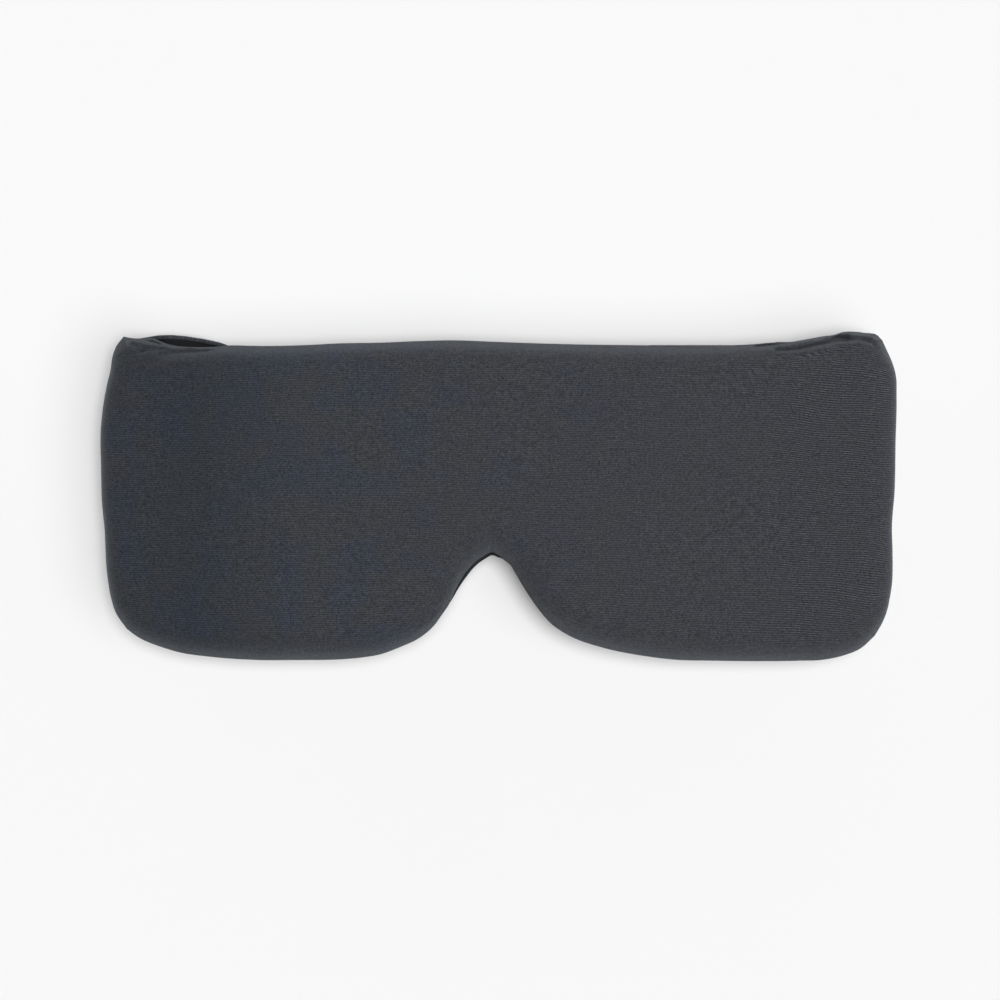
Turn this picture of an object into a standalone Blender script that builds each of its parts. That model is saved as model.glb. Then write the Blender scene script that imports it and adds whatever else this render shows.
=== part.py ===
"""Padded eye massager mask, lying on its back with both head bands folded under it.

Frame: +X across the mask, +Y towards the forehead, +Z out of the front face. The bands rest on z = 0.
Every size below is in millimetres and is turned into metres where a mesh is made.
"""

import functools
import math

import bmesh
import bpy
import numpy as np
from mathutils import Matrix, Vector

MM = 0.001

# Pad outline, right half, in order along each side. The left half is its mirror image, and then the
# nose notch is moved sideways, because the padding there has settled to one side.
TOP_EDGE = [(0, 46.3), (20, 46.1), (40, 45.6), (60, 45.2), (80, 45.3), (100, 45.9), (108, 46.8), (112, 47.4)]
SIDE_EDGE = [
    (110.6, -41.7), (113.9, -38.0), (116.6, -30.0), (117.6, -20.0),
    (118.4, -5.0), (119.0, 10.0), (119.1, 20.0), (118.6, 30.0),
    (117.3, 37.5), (115.2, 44.0), (112.0, 47.4),
]  # fmt: skip
BOTTOM_EDGE = [
    (0, -17.0), (2.6, -18.0), (4.9, -20.3), (7.4, -23.7), (10.4, -28.5),
    (14.2, -34.4), (18.4, -38.8), (24.0, -42.4), (31.0, -45.3), (40.0, -47.5),
    (52.0, -48.7), (66.0, -49.0), (82.0, -48.7), (95.0, -47.5), (104.5, -45.2), (110.6, -41.7),
]  # fmt: skip
NOTCH_SHIFT, NOTCH_SPAN, NOTCH_FADE = -2.2, 30.0, 20.0
PAD_WIDTH = 238.2
PAD_HEIGHT = 95.0

# Heights of the layers above the table
WIDEST_Z = 20.0
FRONT_Z = 31.0
SEAM_Z = 13.5
FACE_Z = 11.0
COVER_THICK = 1.0
LINING_THICK = 0.9
FRONT_ROUND = 10.0
EDGE_POWER = 2.5
PIPING_INSET, PIPING_RADIUS = 1.05, 0.8
LINING_INSET = 2.7
LINING_ROUND = 8.0
LINING_POWER = 2.2
FOAM_INSET = 3.4
FOAM_TOP = 23.0
FOAM_CLEARANCE = 3.0
SHEET_BOTTOM, SHEET_TOP, SHEET_INSET = 24.9, 25.7, 4.0
PADDING_BOTTOM, PADDING_LIP, PADDING_RISE = 26.0, 0.6, 2.9
PADDING_ROUND, PADDING_INSET = 9.0, 4.1

# Face side: eye cavities, the cushions round them, and the roll that seals on the cheeks
EYE_X, EYE_Y = 36.0, -4.0
CAVITY_HALF = (25.0, 17.5)
CAVITY_DEPTH = 7.0
CUSHION_WIDTH, CUSHION_HEIGHT, CUSHION_TOP = 5.5, 3.0, 10.5
CHEEK_DEPTH, CHEEK_INSET, CHEEK_WIDTH = 10.3, 10.0, 7.5
CHEEK_START, CHEEK_FADE = -12.0, 10.0

# Head bands and their fold axes
HINGE_X, HINGE_Z = 114.5, 4.0
BAND_THICK = 2.2
BAND_LOW, BAND_HIGH = -9.0, 49.0
BAND_TIP_HALF = 21.0
RIGHT_TIP_X, LEFT_TIP_X = -42.0, -2.5
OUTER_LAYER_Z = BAND_THICK / 2
INNER_LAYER_Z = 5.6
PATCH_THICK = 0.8
ANCHOR_X, ANCHOR_HALF = 113.2, 24.0
PATCH_Y = 20.0

# Vibration motors: name, x, y
MOTORS = [
    ("left_temple", -86.0, -2.0),
    ("left_brow", -31.0, 28.5),
    ("right_brow", 31.0, 28.5),
    ("right_temple", 86.0, -2.0),
]
MOTOR_RADIUS = 6.0
BOOT_RADIUS = 7.5
BOOT_BOTTOM, BOOT_HEIGHT = 17.7, 4.9
CASE_BOTTOM, CASE_HEIGHT = 18.9, 2.9
POCKET_RADIUS, POCKET_FLOOR = 7.9, 17.4
SHAFT_RADIUS, ROTOR_BORE = 0.45, 0.65

# Control pod behind the top edge, and the battery on the other side
POD_X, POD_Y = 64.0, 30.9
POD_SIZE = (42.0, 22.0)
POD_BOTTOM, POD_SPLIT, POD_TOP = 15.2, 19.1, 22.6
POD_WALL = 1.2
CONTROL_Z = 19.3
SLOT_X = 46.6
BOARD_BOTTOM, BOARD_THICK = 16.8, 0.7
BUTTON_X, LED_X, PORT_X = 53.0, 63.0, 74.0
PANEL_X = 64.0
PANEL_FACE_Y, PANEL_BACK_Y = 44.4, 42.2
PANEL_SIZE = (38.0, 7.2)
BUTTON_SIZE = (10.0, 4.6)
PORT_SIZE = (8.9, 3.2)
BATTERY_CENTRE, BATTERY_SIZE = (-76.0, 31.0), (40.0, 22.0, 5.0)
BATTERY_BOTTOM = 16.9
LEAD_Z, LEAD_RADIUS = 23.8, 0.55

BOSS_RADIUS, POST_RADIUS = 1.9, 1.7
SCREW_EDGE, SCREW_HOLE, SCREW_RECESS = 3.2, 0.95, 1.6
STEM_RADIUS, LIGHT_RADIUS, PLUNGER_RADIUS = 1.2, 0.9, 0.8
SWITCH_SIZE = (4.6, 3.4, 3.1)
CHIP_SIZE, INDUCTOR_SIZE = (7.0, 7.0, 1.0), (4.0, 4.0, 1.6)

# Room left between parts: to fit inside one another, to lie in a pocket, and to stack
GAP = 0.3
SLACK = 1.0
ROOM = 0.15


# ---------------------------------------------------------------- scene and materials

def clear_scene():
    for obj in list(bpy.data.objects):
        bpy.data.objects.remove(obj)


def new_collection(name):
    collection = bpy.data.collections.new(name)
    bpy.context.scene.collection.children.link(collection)
    return collection


def material(name, colour, roughness, metallic=0.0):
    made = bpy.data.materials.new(name)
    made.use_nodes = True
    shader = made.node_tree.nodes["Principled BSDF"]
    shader.inputs["Base Color"].default_value = (*colour, 1.0)
    shader.inputs["Roughness"].default_value = roughness
    shader.inputs["Metallic"].default_value = metallic
    made.diffuse_color = (*colour, 1.0)
    return made


clear_scene()
PART = new_collection("eye_massager_mask")
CUTTERS = new_collection("cutters")

KNIT = material("slate_knit", (0.050, 0.054, 0.062), 0.9)
LINING = material("brushed_lining", (0.032, 0.035, 0.041), 0.95)
FOAM = material("grey_foam", (0.30, 0.30, 0.32), 0.95)
PADDING = material("white_wadding", (0.75, 0.75, 0.73), 0.95)
CARRIER = material("natural_plastic", (0.62, 0.63, 0.63), 0.5)
SILICONE = material("black_silicone", (0.020, 0.021, 0.024), 0.6)
CASE = material("grey_abs", (0.11, 0.115, 0.125), 0.5)
BOARD = material("green_laminate", (0.02, 0.16, 0.06), 0.45)
CHIP = material("black_epoxy", (0.02, 0.02, 0.02), 0.4)
CELL = material("silver_pouch", (0.55, 0.56, 0.58), 0.35)
STEEL = material("bright_steel", (0.58, 0.58, 0.60), 0.3, 1.0)
TUNGSTEN = material("tungsten_alloy", (0.28, 0.28, 0.30), 0.4, 1.0)
WIRE = material("red_black_wire", (0.25, 0.02, 0.02), 0.5)
LIGHT_PIPE = material("milky_light_pipe", (0.80, 0.82, 0.82), 0.3)
HOOK = material("hook_tape", (0.025, 0.027, 0.031), 0.8)
TAPE = material("woven_tape", (0.035, 0.038, 0.044), 0.9)


# ---------------------------------------------------------------- making objects

def add_object(name, bm, finish, origin=(0.0, 0.0, 0.0), smooth_angle=35.0, collection=None):
    """Links bm, whose points are in millimetres, as an object in metres with its origin at that point."""
    bmesh.ops.translate(bm, verts=bm.verts, vec=-Vector(origin))
    bmesh.ops.scale(bm, verts=bm.verts, vec=(MM, MM, MM))
    mesh = bpy.data.meshes.new(name)
    bm.to_mesh(mesh)
    bm.free()
    if finish is not None:
        mesh.materials.append(finish)
    mesh.shade_smooth()
    mesh.set_sharp_from_angle(angle=math.radians(smooth_angle))
    obj = bpy.data.objects.new(name, mesh)
    obj.location = Vector(origin) * MM
    (collection or PART).objects.link(obj)
    return obj


def box_mesh(centre, size):
    bm = bmesh.new()
    bmesh.ops.create_cube(bm, size=1.0)
    bmesh.ops.scale(bm, verts=bm.verts, vec=size)
    bmesh.ops.translate(bm, verts=bm.verts, vec=centre)
    return bm


def cylinder_mesh(centre, radius, height, axis="Z", segments=24):
    bm = bmesh.new()
    bmesh.ops.create_cone(
        bm, cap_ends=True, segments=segments, radius1=radius, radius2=radius, depth=height
    )
    turn = {"X": Matrix.Rotation(math.pi / 2, 3, "Y"), "Y": Matrix.Rotation(math.pi / 2, 3, "X")}
    if axis in turn:
        bmesh.ops.rotate(bm, verts=bm.verts, matrix=turn[axis])
    bmesh.ops.translate(bm, verts=bm.verts, vec=centre)
    return bm


def pill_mesh(centre, width, height, depth, segments=8):
    """A slot-shaped bar along Y: width along X, height along Z, with round ends."""
    radius = height / 2
    reach = width / 2 - radius
    bm = bmesh.new()
    rim = []
    for side in (1, -1):
        for k in range(segments + 1):
            angle = -math.pi / 2 + math.pi * k / segments
            x = side * (reach + radius * math.cos(angle))
            rim.append(bm.verts.new((x, -depth / 2, side * radius * math.sin(angle))))
    face = bm.faces.new(rim)
    made = bmesh.ops.extrude_face_region(bm, geom=[face])["geom"]
    moved = [v for v in made if isinstance(v, bmesh.types.BMVert)]
    bmesh.ops.translate(bm, verts=moved, vec=(0, depth, 0))
    bmesh.ops.recalc_face_normals(bm, faces=bm.faces)
    bmesh.ops.translate(bm, verts=bm.verts, vec=centre)
    return bm


def cutter(bm):
    obj = add_object("cutter", bm, None, collection=CUTTERS)
    obj.hide_render = True
    obj.display_type = "WIRE"
    return obj


def combine(obj, bm, operation="DIFFERENCE"):
    """Cuts obj by bm, or joins bm to it."""
    modifier = obj.modifiers.new(operation.title(), "BOOLEAN")
    modifier.operation = operation
    modifier.solver = "EXACT"
    modifier.object = cutter(bm)
    return obj


def bevel(obj, width, segments=2):
    modifier = obj.modifiers.new("Rounded edges", "BEVEL")
    modifier.width = width * MM
    modifier.segments = segments
    modifier.limit_method = "ANGLE"
    modifier.angle_limit = math.radians(40)
    return obj


def solidify(obj, thickness, offset=-1.0):
    modifier = obj.modifiers.new("Thickness", "SOLIDIFY")
    modifier.thickness = thickness * MM
    modifier.offset = offset
    return obj


def lead(name, points, finish=WIRE, radius=LEAD_RADIUS):
    """A flexible wire through these points, as a smooth curve with round ends filled."""
    curve = bpy.data.curves.new(name, "CURVE")
    curve.dimensions = "3D"
    curve.bevel_depth = radius * MM
    curve.bevel_resolution = 2
    curve.use_fill_caps = True
    path = smooth_curve(points, 2 * len(points) + 2)
    spline = curve.splines.new("POLY")
    spline.points.add(len(path) - 1)
    for point, place in zip(spline.points, path):
        point.co = (*(place * MM), 1.0)
    curve.materials.append(finish)
    obj = bpy.data.objects.new(name, curve)
    PART.objects.link(obj)
    return obj


# ---------------------------------------------------------------- the pad's outline

def evenly_spaced(line, count):
    """count points at equal steps along a line of points."""
    length = np.concatenate([[0.0], np.cumsum(np.linalg.norm(np.diff(line, axis=0), axis=1))])
    wanted = np.linspace(0, length[-1], count)
    return np.stack([np.interp(wanted, length, column) for column in line.T], axis=1)


def smooth_curve(points, count):
    """count points, evenly spaced along a smooth curve through the given ones."""
    points = np.array(points, float)
    chord = np.concatenate([[0.0], np.cumsum(np.linalg.norm(np.diff(points, axis=0), axis=1))])
    slope = np.gradient(points, chord, axis=0)
    dense = []
    for k in range(len(points) - 1):
        span = chord[k + 1] - chord[k]
        t = np.linspace(0, 1, 16, endpoint=False)[:, None]
        dense.append(
            (2 * t**3 - 3 * t**2 + 1) * points[k]
            + (t**3 - 2 * t**2 + t) * span * slope[k]
            + (3 * t**2 - 2 * t**3) * points[k + 1]
            + (t**3 - t**2) * span * slope[k + 1]
        )
    return evenly_spaced(np.concatenate([*dense, points[-1:]]), count)


def mirrored(half):
    """The whole edge from left to right, from its right half."""
    return [(-x, y) for x, y in reversed(half[1:])] + half


def ease(t):
    t = np.clip(t, 0, 1)
    return t * t * (3 - 2 * t)


CURVE_COUNT = 241
TOP = smooth_curve(mirrored(TOP_EDGE), CURVE_COUNT)
BOTTOM = smooth_curve(mirrored(BOTTOM_EDGE), CURVE_COUNT)
BOTTOM[:, 0] += NOTCH_SHIFT * ease((NOTCH_SPAN - np.abs(BOTTOM[:, 0])) / NOTCH_FADE)
RIGHT = smooth_curve(SIDE_EDGE, CURVE_COUNT)
LEFT = RIGHT * (-1, 1)


def along(curve, t):
    places = np.linspace(0, 1, len(curve))
    return np.stack([np.interp(t, places, curve[:, 0]), np.interp(t, places, curve[:, 1])], axis=-1)


def closed_line(bottom, right, top, left):
    """The four edges as one anticlockwise line, each corner taken once."""
    return np.concatenate([bottom[:-1], right[:-1], top[:0:-1], left[:0:-1]])


def edge_distance(points, line):
    """How far each point lies from a closed line."""
    step = np.roll(line, -1, axis=0) - line
    away = points[:, None, :] - line[None]
    share = np.clip((away * step).sum(-1) / (step * step).sum(-1), 0, 1)
    return np.linalg.norm(away - share[..., None] * step, axis=-1).min(1)


@functools.lru_cache
def edges(inset):
    """The pad's bottom, right, top and left edges, all moved inwards by inset."""
    given = (BOTTOM, RIGHT, TOP, LEFT)
    if inset == 0:
        return given
    moved = []
    for curve, turn in zip(given, (1, 1, -1, -1)):
        way = np.gradient(curve, axis=0)
        inward = turn * np.stack([-way[:, 1], way[:, 0]], axis=1)
        line = curve + inset * inward / np.linalg.norm(inward, axis=1)[:, None]
        moved.append(line[edge_distance(line, closed_line(*given)) > 0.98 * inset])
    bottom, right, top, left = moved
    low_right, high_right = (bottom[-1] + right[0]) / 2, (right[-1] + top[-1]) / 2
    low_left, high_left = low_right * (-1, 1), high_right * (-1, 1)
    ends = ((low_left, low_right), (low_right, high_right), (high_left, high_right), (low_left, high_left))
    return tuple(
        evenly_spaced(np.concatenate([[first], line, [last]]), CURVE_COUNT)
        for line, (first, last) in zip(moved, ends)
    )


@functools.lru_cache
def outline(inset):
    return closed_line(*edges(inset))[::2]


def pad_point(u, v, inset=0.0):
    """Point of the pad at u across and v up, each 0 to 1, inside the outline moved in by inset."""
    bottom, right, top, left = edges(inset)
    u, v = np.asarray(u, float), np.asarray(v, float)
    u1, v1 = u[..., None], v[..., None]
    sides = (1 - v1) * along(bottom, u) + v1 * along(top, u)
    sides += (1 - u1) * along(left, v) + u1 * along(right, v)
    low = (1 - v1) * ((1 - u1) * left[0] + u1 * right[0])
    high = v1 * ((1 - u1) * left[-1] + u1 * right[-1])
    return sides - low - high


def rounding(depth, reach, power):
    """0 at the edge and 1 at reach, along a superellipse."""
    t = np.clip(depth / reach, 0, 1)
    return (1 - (1 - t) ** power) ** (1 / power)


def front_height(points, depth):
    return WIDEST_Z + (FRONT_Z - WIDEST_Z) * rounding(depth, FRONT_ROUND, EDGE_POWER)


def eye_ellipse(points, margin=0.0):
    """1 on the rim of an eye cavity widened by margin, less inside it."""
    wide, high = CAVITY_HALF[0] + margin, CAVITY_HALF[1] + margin
    return np.hypot((np.abs(points[:, 0]) - EYE_X) / wide, (points[:, 1] - EYE_Y) / high)


def face_height(points, inside=0.0):
    """The side that lies on the face: flat, with two eye cavities and a roll along the cheeks and nose.

    inside gives the surface that far within the pad, so that a layer can lie behind the lining.
    """
    depth = edge_distance(points, outline(LINING_INSET))
    rim = SEAM_Z - GAP
    flat = rim - (rim - FACE_Z) * rounding(depth, LINING_ROUND, LINING_POWER)
    cavity = CAVITY_DEPTH * ease((1 - eye_ellipse(points, inside)) / 0.55)
    roll = np.exp(-(((depth - CHEEK_INSET) / (CHEEK_WIDTH - 0.6 * inside)) ** 2)) * rounding(depth, 5.0, 2.0)
    lower = ease((CHEEK_START - points[:, 1]) / CHEEK_FADE)
    beside_eye = ease((eye_ellipse(points, CUSHION_WIDTH + inside) - 1.08) / 0.5)
    return flat + inside + cavity - CHEEK_DEPTH * roll * lower * beside_eye


# ---------------------------------------------------------------- the pad's layers

def graded(length, edge_steps, inner_count):
    """Places from 0 to 1, close together near both ends and even between."""
    steps = np.array(edge_steps) / length
    inner = np.linspace(steps[-1], 1 - steps[-1], inner_count + 1)
    return np.concatenate([steps[:-1], inner, 1 - steps[:-1][::-1]])


def pad_grid(inset, height, rings=(), edge_steps=(0.0, 1.1, 4.0, 10.0), across=36, up=5):
    """A grid over the pad at height(points, depth). rings continue it past its edge, each (inset, z)."""
    us = graded(PAD_WIDTH, edge_steps, across)
    vs = graded(PAD_HEIGHT, edge_steps, up)
    extra = len(rings)
    columns, rows = len(us) + 2 * extra, len(vs) + 2 * extra
    bm = bmesh.new()
    bmesh.ops.create_grid(bm, x_segments=columns - 1, y_segments=rows - 1, size=1.0)
    verts = list(bm.verts)
    i = np.array([round((v.co.x + 1) / 2 * (columns - 1)) for v in verts])
    j = np.array([round((v.co.y + 1) / 2 * (rows - 1)) for v in verts])
    ring = np.maximum.reduce([extra - i, i - (columns - 1 - extra), extra - j, j - (rows - 1 - extra), 0 * i])
    u = us[np.clip(i - extra, 0, len(us) - 1)]
    v = vs[np.clip(j - extra, 0, len(vs) - 1)]
    xy = pad_point(u, v, inset)
    z = height(xy, edge_distance(xy, outline(inset)))
    for k, (ring_inset, ring_z) in enumerate(rings, start=1):
        on_ring = ring == k
        xy[on_ring] = pad_point(u[on_ring], v[on_ring], ring_inset)
        z[on_ring] = ring_z
    for vert, (x, y), level in zip(verts, xy, z):
        vert.co = (x, y, level)
    bmesh.ops.remove_doubles(bm, verts=bm.verts, dist=0.001)
    return bm


def slab(name, finish, inset, lower, upper_z=None, upper=None, **grid):
    """A solid layer between lower(points, depth) and a flat top or upper(points, depth)."""
    bm = pad_grid(inset, lower, **grid)
    made = bmesh.ops.extrude_face_region(bm, geom=list(bm.faces))["geom"]
    top = [v for v in made if isinstance(v, bmesh.types.BMVert)]
    if upper is None:
        for v in top:
            v.co.z = upper_z
    else:
        xy = np.array([v.co.xy for v in top])
        for v, level in zip(top, upper(xy, edge_distance(xy, outline(inset)))):
            v.co.z = level
    bmesh.ops.recalc_face_normals(bm, faces=bm.faces)
    bmesh.ops.dissolve_limit(bm, angle_limit=0.01, verts=bm.verts, edges=bm.edges)
    return add_object(name, bm, finish)


def front_cover():
    """Stretch knit drawn over the front and round the edge to the seam at the back."""
    rings = [(0.5, 17.0), (1.8, SEAM_Z + 0.8 + GAP)]
    cover = add_object("front_cover", pad_grid(0.0, front_height, rings), KNIT)
    solidify(cover, COVER_THICK)
    opening = (PANEL_X, PANEL_FACE_Y, CONTROL_Z)
    combine(cover, box_mesh(opening, (PANEL_SIZE[0] + 2 * GAP, 6.0, PANEL_SIZE[1] + 2 * GAP)))


def face_lining():
    """Soft lining over the face side, dipping into the eye cavities."""
    bm = pad_grid(LINING_INSET, lambda xy, depth: face_height(xy), across=36, up=11)
    bmesh.ops.reverse_faces(bm, faces=bm.faces)
    solidify(add_object("face_lining", bm, LINING), LINING_THICK)


def rear_foam():
    """Shaped foam body with pockets, open to the front, for the motors, the pod and the battery."""
    foam = slab(
        "rear_foam", FOAM, FOAM_INSET, lambda xy, depth: face_height(xy, FOAM_CLEARANCE),
        upper_z=FOAM_TOP, edge_steps=(0.0, 1.6, 6.0), across=36, up=11,
    )  # fmt: skip
    depth = FOAM_TOP - POCKET_FLOOR + SLACK
    for _, x, y in MOTORS:
        combine(foam, cylinder_mesh((x, y, POCKET_FLOOR + depth / 2), POCKET_RADIUS, depth))
    pod_floor = POD_BOTTOM - GAP
    pod_tall = FOAM_TOP + SLACK - pod_floor
    pod_deep = POD_SIZE[1] + GAP + 5.0
    pod_centre = (POD_X, POD_Y - POD_SIZE[1] / 2 - GAP + pod_deep / 2, pod_floor + pod_tall / 2)
    combine(foam, box_mesh(pod_centre, (POD_SIZE[0] + 2 * GAP, pod_deep, pod_tall)))
    cell_floor = BATTERY_BOTTOM - GAP
    cell_tall = FOAM_TOP + SLACK - cell_floor
    cell_centre = (*BATTERY_CENTRE, cell_floor + cell_tall / 2)
    combine(foam, box_mesh(cell_centre, (BATTERY_SIZE[0] + SLACK, BATTERY_SIZE[1] + SLACK, cell_tall)))


def padding_top(points, depth):
    return PADDING_BOTTOM + PADDING_LIP + PADDING_RISE * rounding(depth, PADDING_ROUND, EDGE_POWER)


def inner_layers():
    slab(
        "carrier_sheet", CARRIER, SHEET_INSET, lambda xy, depth: 0 * depth + SHEET_BOTTOM,
        upper_z=SHEET_TOP, edge_steps=(0.0, 6.0), across=36, up=5,
    )  # fmt: skip
    slab(
        "front_padding", PADDING, PADDING_INSET, lambda xy, depth: 0 * depth + PADDING_BOTTOM,
        upper=padding_top, edge_steps=(0.0, 1.5, 5.0), across=30, up=7,
    )  # fmt: skip


def seam_piping():
    """Round cord sewn into the seam between the cover and the lining, all the way round."""
    counts = (36, 11, 26, 11)
    line = closed_line(*(evenly_spaced(edge, count) for edge, count in zip(edges(PIPING_INSET), counts)))
    curve = bpy.data.curves.new("seam_piping", "CURVE")
    curve.dimensions = "3D"
    curve.bevel_depth = PIPING_RADIUS * MM
    curve.bevel_resolution = 1
    spline = curve.splines.new("POLY")
    spline.points.add(len(line) - 1)
    for point, (x, y) in zip(spline.points, line):
        point.co = (x * MM, y * MM, SEAM_Z * MM, 1.0)
    spline.use_cyclic_u = True
    curve.materials.append(TAPE)
    PART.objects.link(bpy.data.objects.new("seam_piping", curve))


def nose_baffle():
    """Thin flap behind the nose notch that reaches past the cover to keep light out."""
    reach, hidden, span = 1.4, 2.1, 26.0
    centre = BOTTOM[np.abs(BOTTOM[:, 0] - NOTCH_SHIFT) <= span][::6]
    way = np.gradient(centre, axis=0)
    outward = np.stack([way[:, 1], -way[:, 0]], axis=1)
    outward /= np.linalg.norm(outward, axis=1)[:, None]
    bm = bmesh.new()
    bmesh.ops.create_grid(bm, x_segments=len(centre) - 1, y_segments=1, size=1.0)
    for v in bm.verts:
        k = round((v.co.x + 1) / 2 * (len(centre) - 1))
        shift = reach if v.co.y < 0 else -hidden
        v.co = (*(centre[k] + shift * outward[k]), SEAM_Z - 1.5)
    bmesh.ops.recalc_face_normals(bm, faces=bm.faces)
    solidify(add_object("nose_baffle", bm, LINING), 0.8, offset=0.0)


def eye_cushion(name, side):
    """Soft oval ring round one eye cavity, from a torus stretched to the cavity's rim."""
    bm = bmesh.new()
    major, minor = 32, 6
    bmesh.ops.create_circle(bm, segments=minor, radius=1.0)
    bmesh.ops.rotate(bm, verts=bm.verts, matrix=Matrix.Rotation(math.pi / 2, 3, "X"))
    bmesh.ops.translate(bm, verts=bm.verts, vec=(10.0, 0, 0))
    bmesh.ops.spin(
        bm, geom=bm.edges[:], cent=(0, 0, 0), axis=(0, 0, 1), angle=2 * math.pi, steps=major, use_merge=True
    )
    middle = (CAVITY_HALF[0] + CUSHION_WIDTH / 2, CAVITY_HALF[1] + CUSHION_WIDTH / 2)
    for v in bm.verts:
        angle = math.atan2(v.co.y, v.co.x)
        outward = Vector((math.cos(angle) / middle[0], math.sin(angle) / middle[1])).normalized()
        offset = (v.co.xy.length - 10.0) * CUSHION_WIDTH / 2
        v.co.x = side * EYE_X + middle[0] * math.cos(angle) + outward.x * offset
        v.co.y = EYE_Y + middle[1] * math.sin(angle) + outward.y * offset
        v.co.z = CUSHION_TOP - CUSHION_HEIGHT / 2 + v.co.z * CUSHION_HEIGHT / 2
    bmesh.ops.recalc_face_normals(bm, faces=bm.faces)
    add_object(name, bm, LINING)


# ---------------------------------------------------------------- head bands

def band_sheet(name, finish, side, path, half_height, centre_y, thickness, rows=5):
    """A strip along path, a list of (x, z) on the right side, with its half height given along it."""
    line = smooth_curve(path, 2 * len(path) + 6)
    bm = bmesh.new()
    bmesh.ops.create_grid(bm, x_segments=len(line) - 1, y_segments=rows - 1, size=1.0)
    for v in bm.verts:
        k = round((v.co.x + 1) / 2 * (len(line) - 1))
        x, z = line[k]
        v.co = (side * x, centre_y(x) + v.co.y * half_height(x), max(z, OUTER_LAYER_Z))
    bmesh.ops.recalc_face_normals(bm, faces=bm.faces)
    band = add_object(name, bm, finish, origin=(side * HINGE_X, 0.0, HINGE_Z))
    return solidify(band, thickness, offset=0.0)


def band_shape(tip_x):
    """Half height and middle of a band along x: full at the root, narrower and rounded at the tip."""
    root_half = (BAND_HIGH - BAND_LOW) / 2
    root_middle = (BAND_HIGH + BAND_LOW) / 2

    def share(x):
        return float(ease((HINGE_X - 8.0 - x) / (HINGE_X - 8.0 - tip_x - 25.0)))

    def half_height(x):
        half = root_half + (BAND_TIP_HALF - root_half) * share(x)
        to_tip = (x - tip_x) / 12.0
        return half * (0.72 + 0.28 * math.sqrt(max(0.0, 1 - (1 - min(to_tip, 1.0)) ** 2)))

    def middle(x):
        return root_middle + (PATCH_Y - root_middle) * share(x)

    return half_height, middle


ROOT_BEND = [
    (HINGE_X, HINGE_Z), (HINGE_X - 0.3, 2.9), (HINGE_X - 1.4, 1.9), (HINGE_X - 3.4, 1.3),
    (HINGE_X - 6.5, OUTER_LAYER_Z), (HINGE_X - 10.0, OUTER_LAYER_Z),
]  # fmt: skip


def head_bands():
    half_height, middle = band_shape(RIGHT_TIP_X)
    flat = [(x, OUTER_LAYER_Z) for x in (90.0, 70.0, 40.0, 10.0, -20.0, -34.0, -39.0, RIGHT_TIP_X)]
    band_sheet("right_band", KNIT, 1, ROOT_BEND + flat, half_height, middle, BAND_THICK)

    tip = -LEFT_TIP_X
    half_height, middle = band_shape(tip)
    rise = [(90.0, OUTER_LAYER_Z), (78.0, OUTER_LAYER_Z), (67.0, 3.35), (56.0, INNER_LAYER_Z)]
    level = [(x, INNER_LAYER_Z) for x in (45.0, 25.0, 12.0, 6.0, tip)]
    band_sheet("left_band", KNIT, -1, ROOT_BEND + rise + level, half_height, middle, BAND_THICK)


def closure():
    """Hook tape on the outer band, loop tape on the inner one, and the tab that peels them apart."""
    hook_z = BAND_THICK + 0.2 + PATCH_THICK / 2
    loop_z = INNER_LAYER_Z - BAND_THICK / 2 - 0.2 - PATCH_THICK / 2
    hook = box_mesh((-21.0, PATCH_Y, hook_z), (30.0, 30.0, PATCH_THICK))
    bevel(add_object("hook_patch", hook, HOOK), 0.25, 1)
    loop = box_mesh((-28.0, PATCH_Y, loop_z), (44.0, 32.0, PATCH_THICK))
    bevel(add_object("loop_patch", loop, HOOK), 0.25, 1)
    tab = box_mesh((RIGHT_TIP_X - GAP - 5.0, PATCH_Y, OUTER_LAYER_Z), (10.0, 13.0, 1.0))
    bevel(add_object("pull_tab", tab, TAPE), 0.3, 1)


def band_anchor(name, side):
    """Woven tape that hangs from the side seam and carries the band's fold line."""
    bm = bmesh.new()
    bmesh.ops.create_grid(bm, x_segments=1, y_segments=1, size=1.0)
    low, high = HINGE_Z + BAND_THICK / 2 + 2 * GAP, FACE_Z - 2 * GAP
    for v in bm.verts:
        z = low if v.co.x < 0 else high
        v.co = (side * ANCHOR_X, (BAND_HIGH + BAND_LOW) / 2 - 1.0 + v.co.y * ANCHOR_HALF, z)
    bmesh.ops.recalc_face_normals(bm, faces=bm.faces)
    solidify(add_object(name, bm, TAPE), 0.9, offset=0.0)


# ---------------------------------------------------------------- vibration motors

def rotor(name, x, y, middle):
    """Half disc of heavy alloy on a hub, bored for the shaft. Its origin is on the shaft's axis."""
    thick = 1.5
    disc = cylinder_mesh((x, y, middle), MOTOR_RADIUS - 0.8, thick, segments=24)
    made = add_object(name, disc, TUNGSTEN, origin=(x, y, middle))
    size = 3 * MOTOR_RADIUS
    combine(made, box_mesh((x, y - size / 2, middle), (size, size, size)))
    combine(made, cylinder_mesh((x, y, middle), 1.3, thick - 0.02, segments=12), "UNION")
    combine(made, cylinder_mesh((x, y, middle), ROTOR_BORE, 3 * thick, segments=12))


def cup(name, finish, foot, radius, height, wall, floor):
    """Round cup standing on foot, open at the top."""
    x, y, z = foot
    made = add_object(name, cylinder_mesh((x, y, z + height / 2), radius, height, segments=20), finish)
    combine(made, cylinder_mesh((x, y, z + floor + height / 2), radius - wall, height, segments=20))


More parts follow.
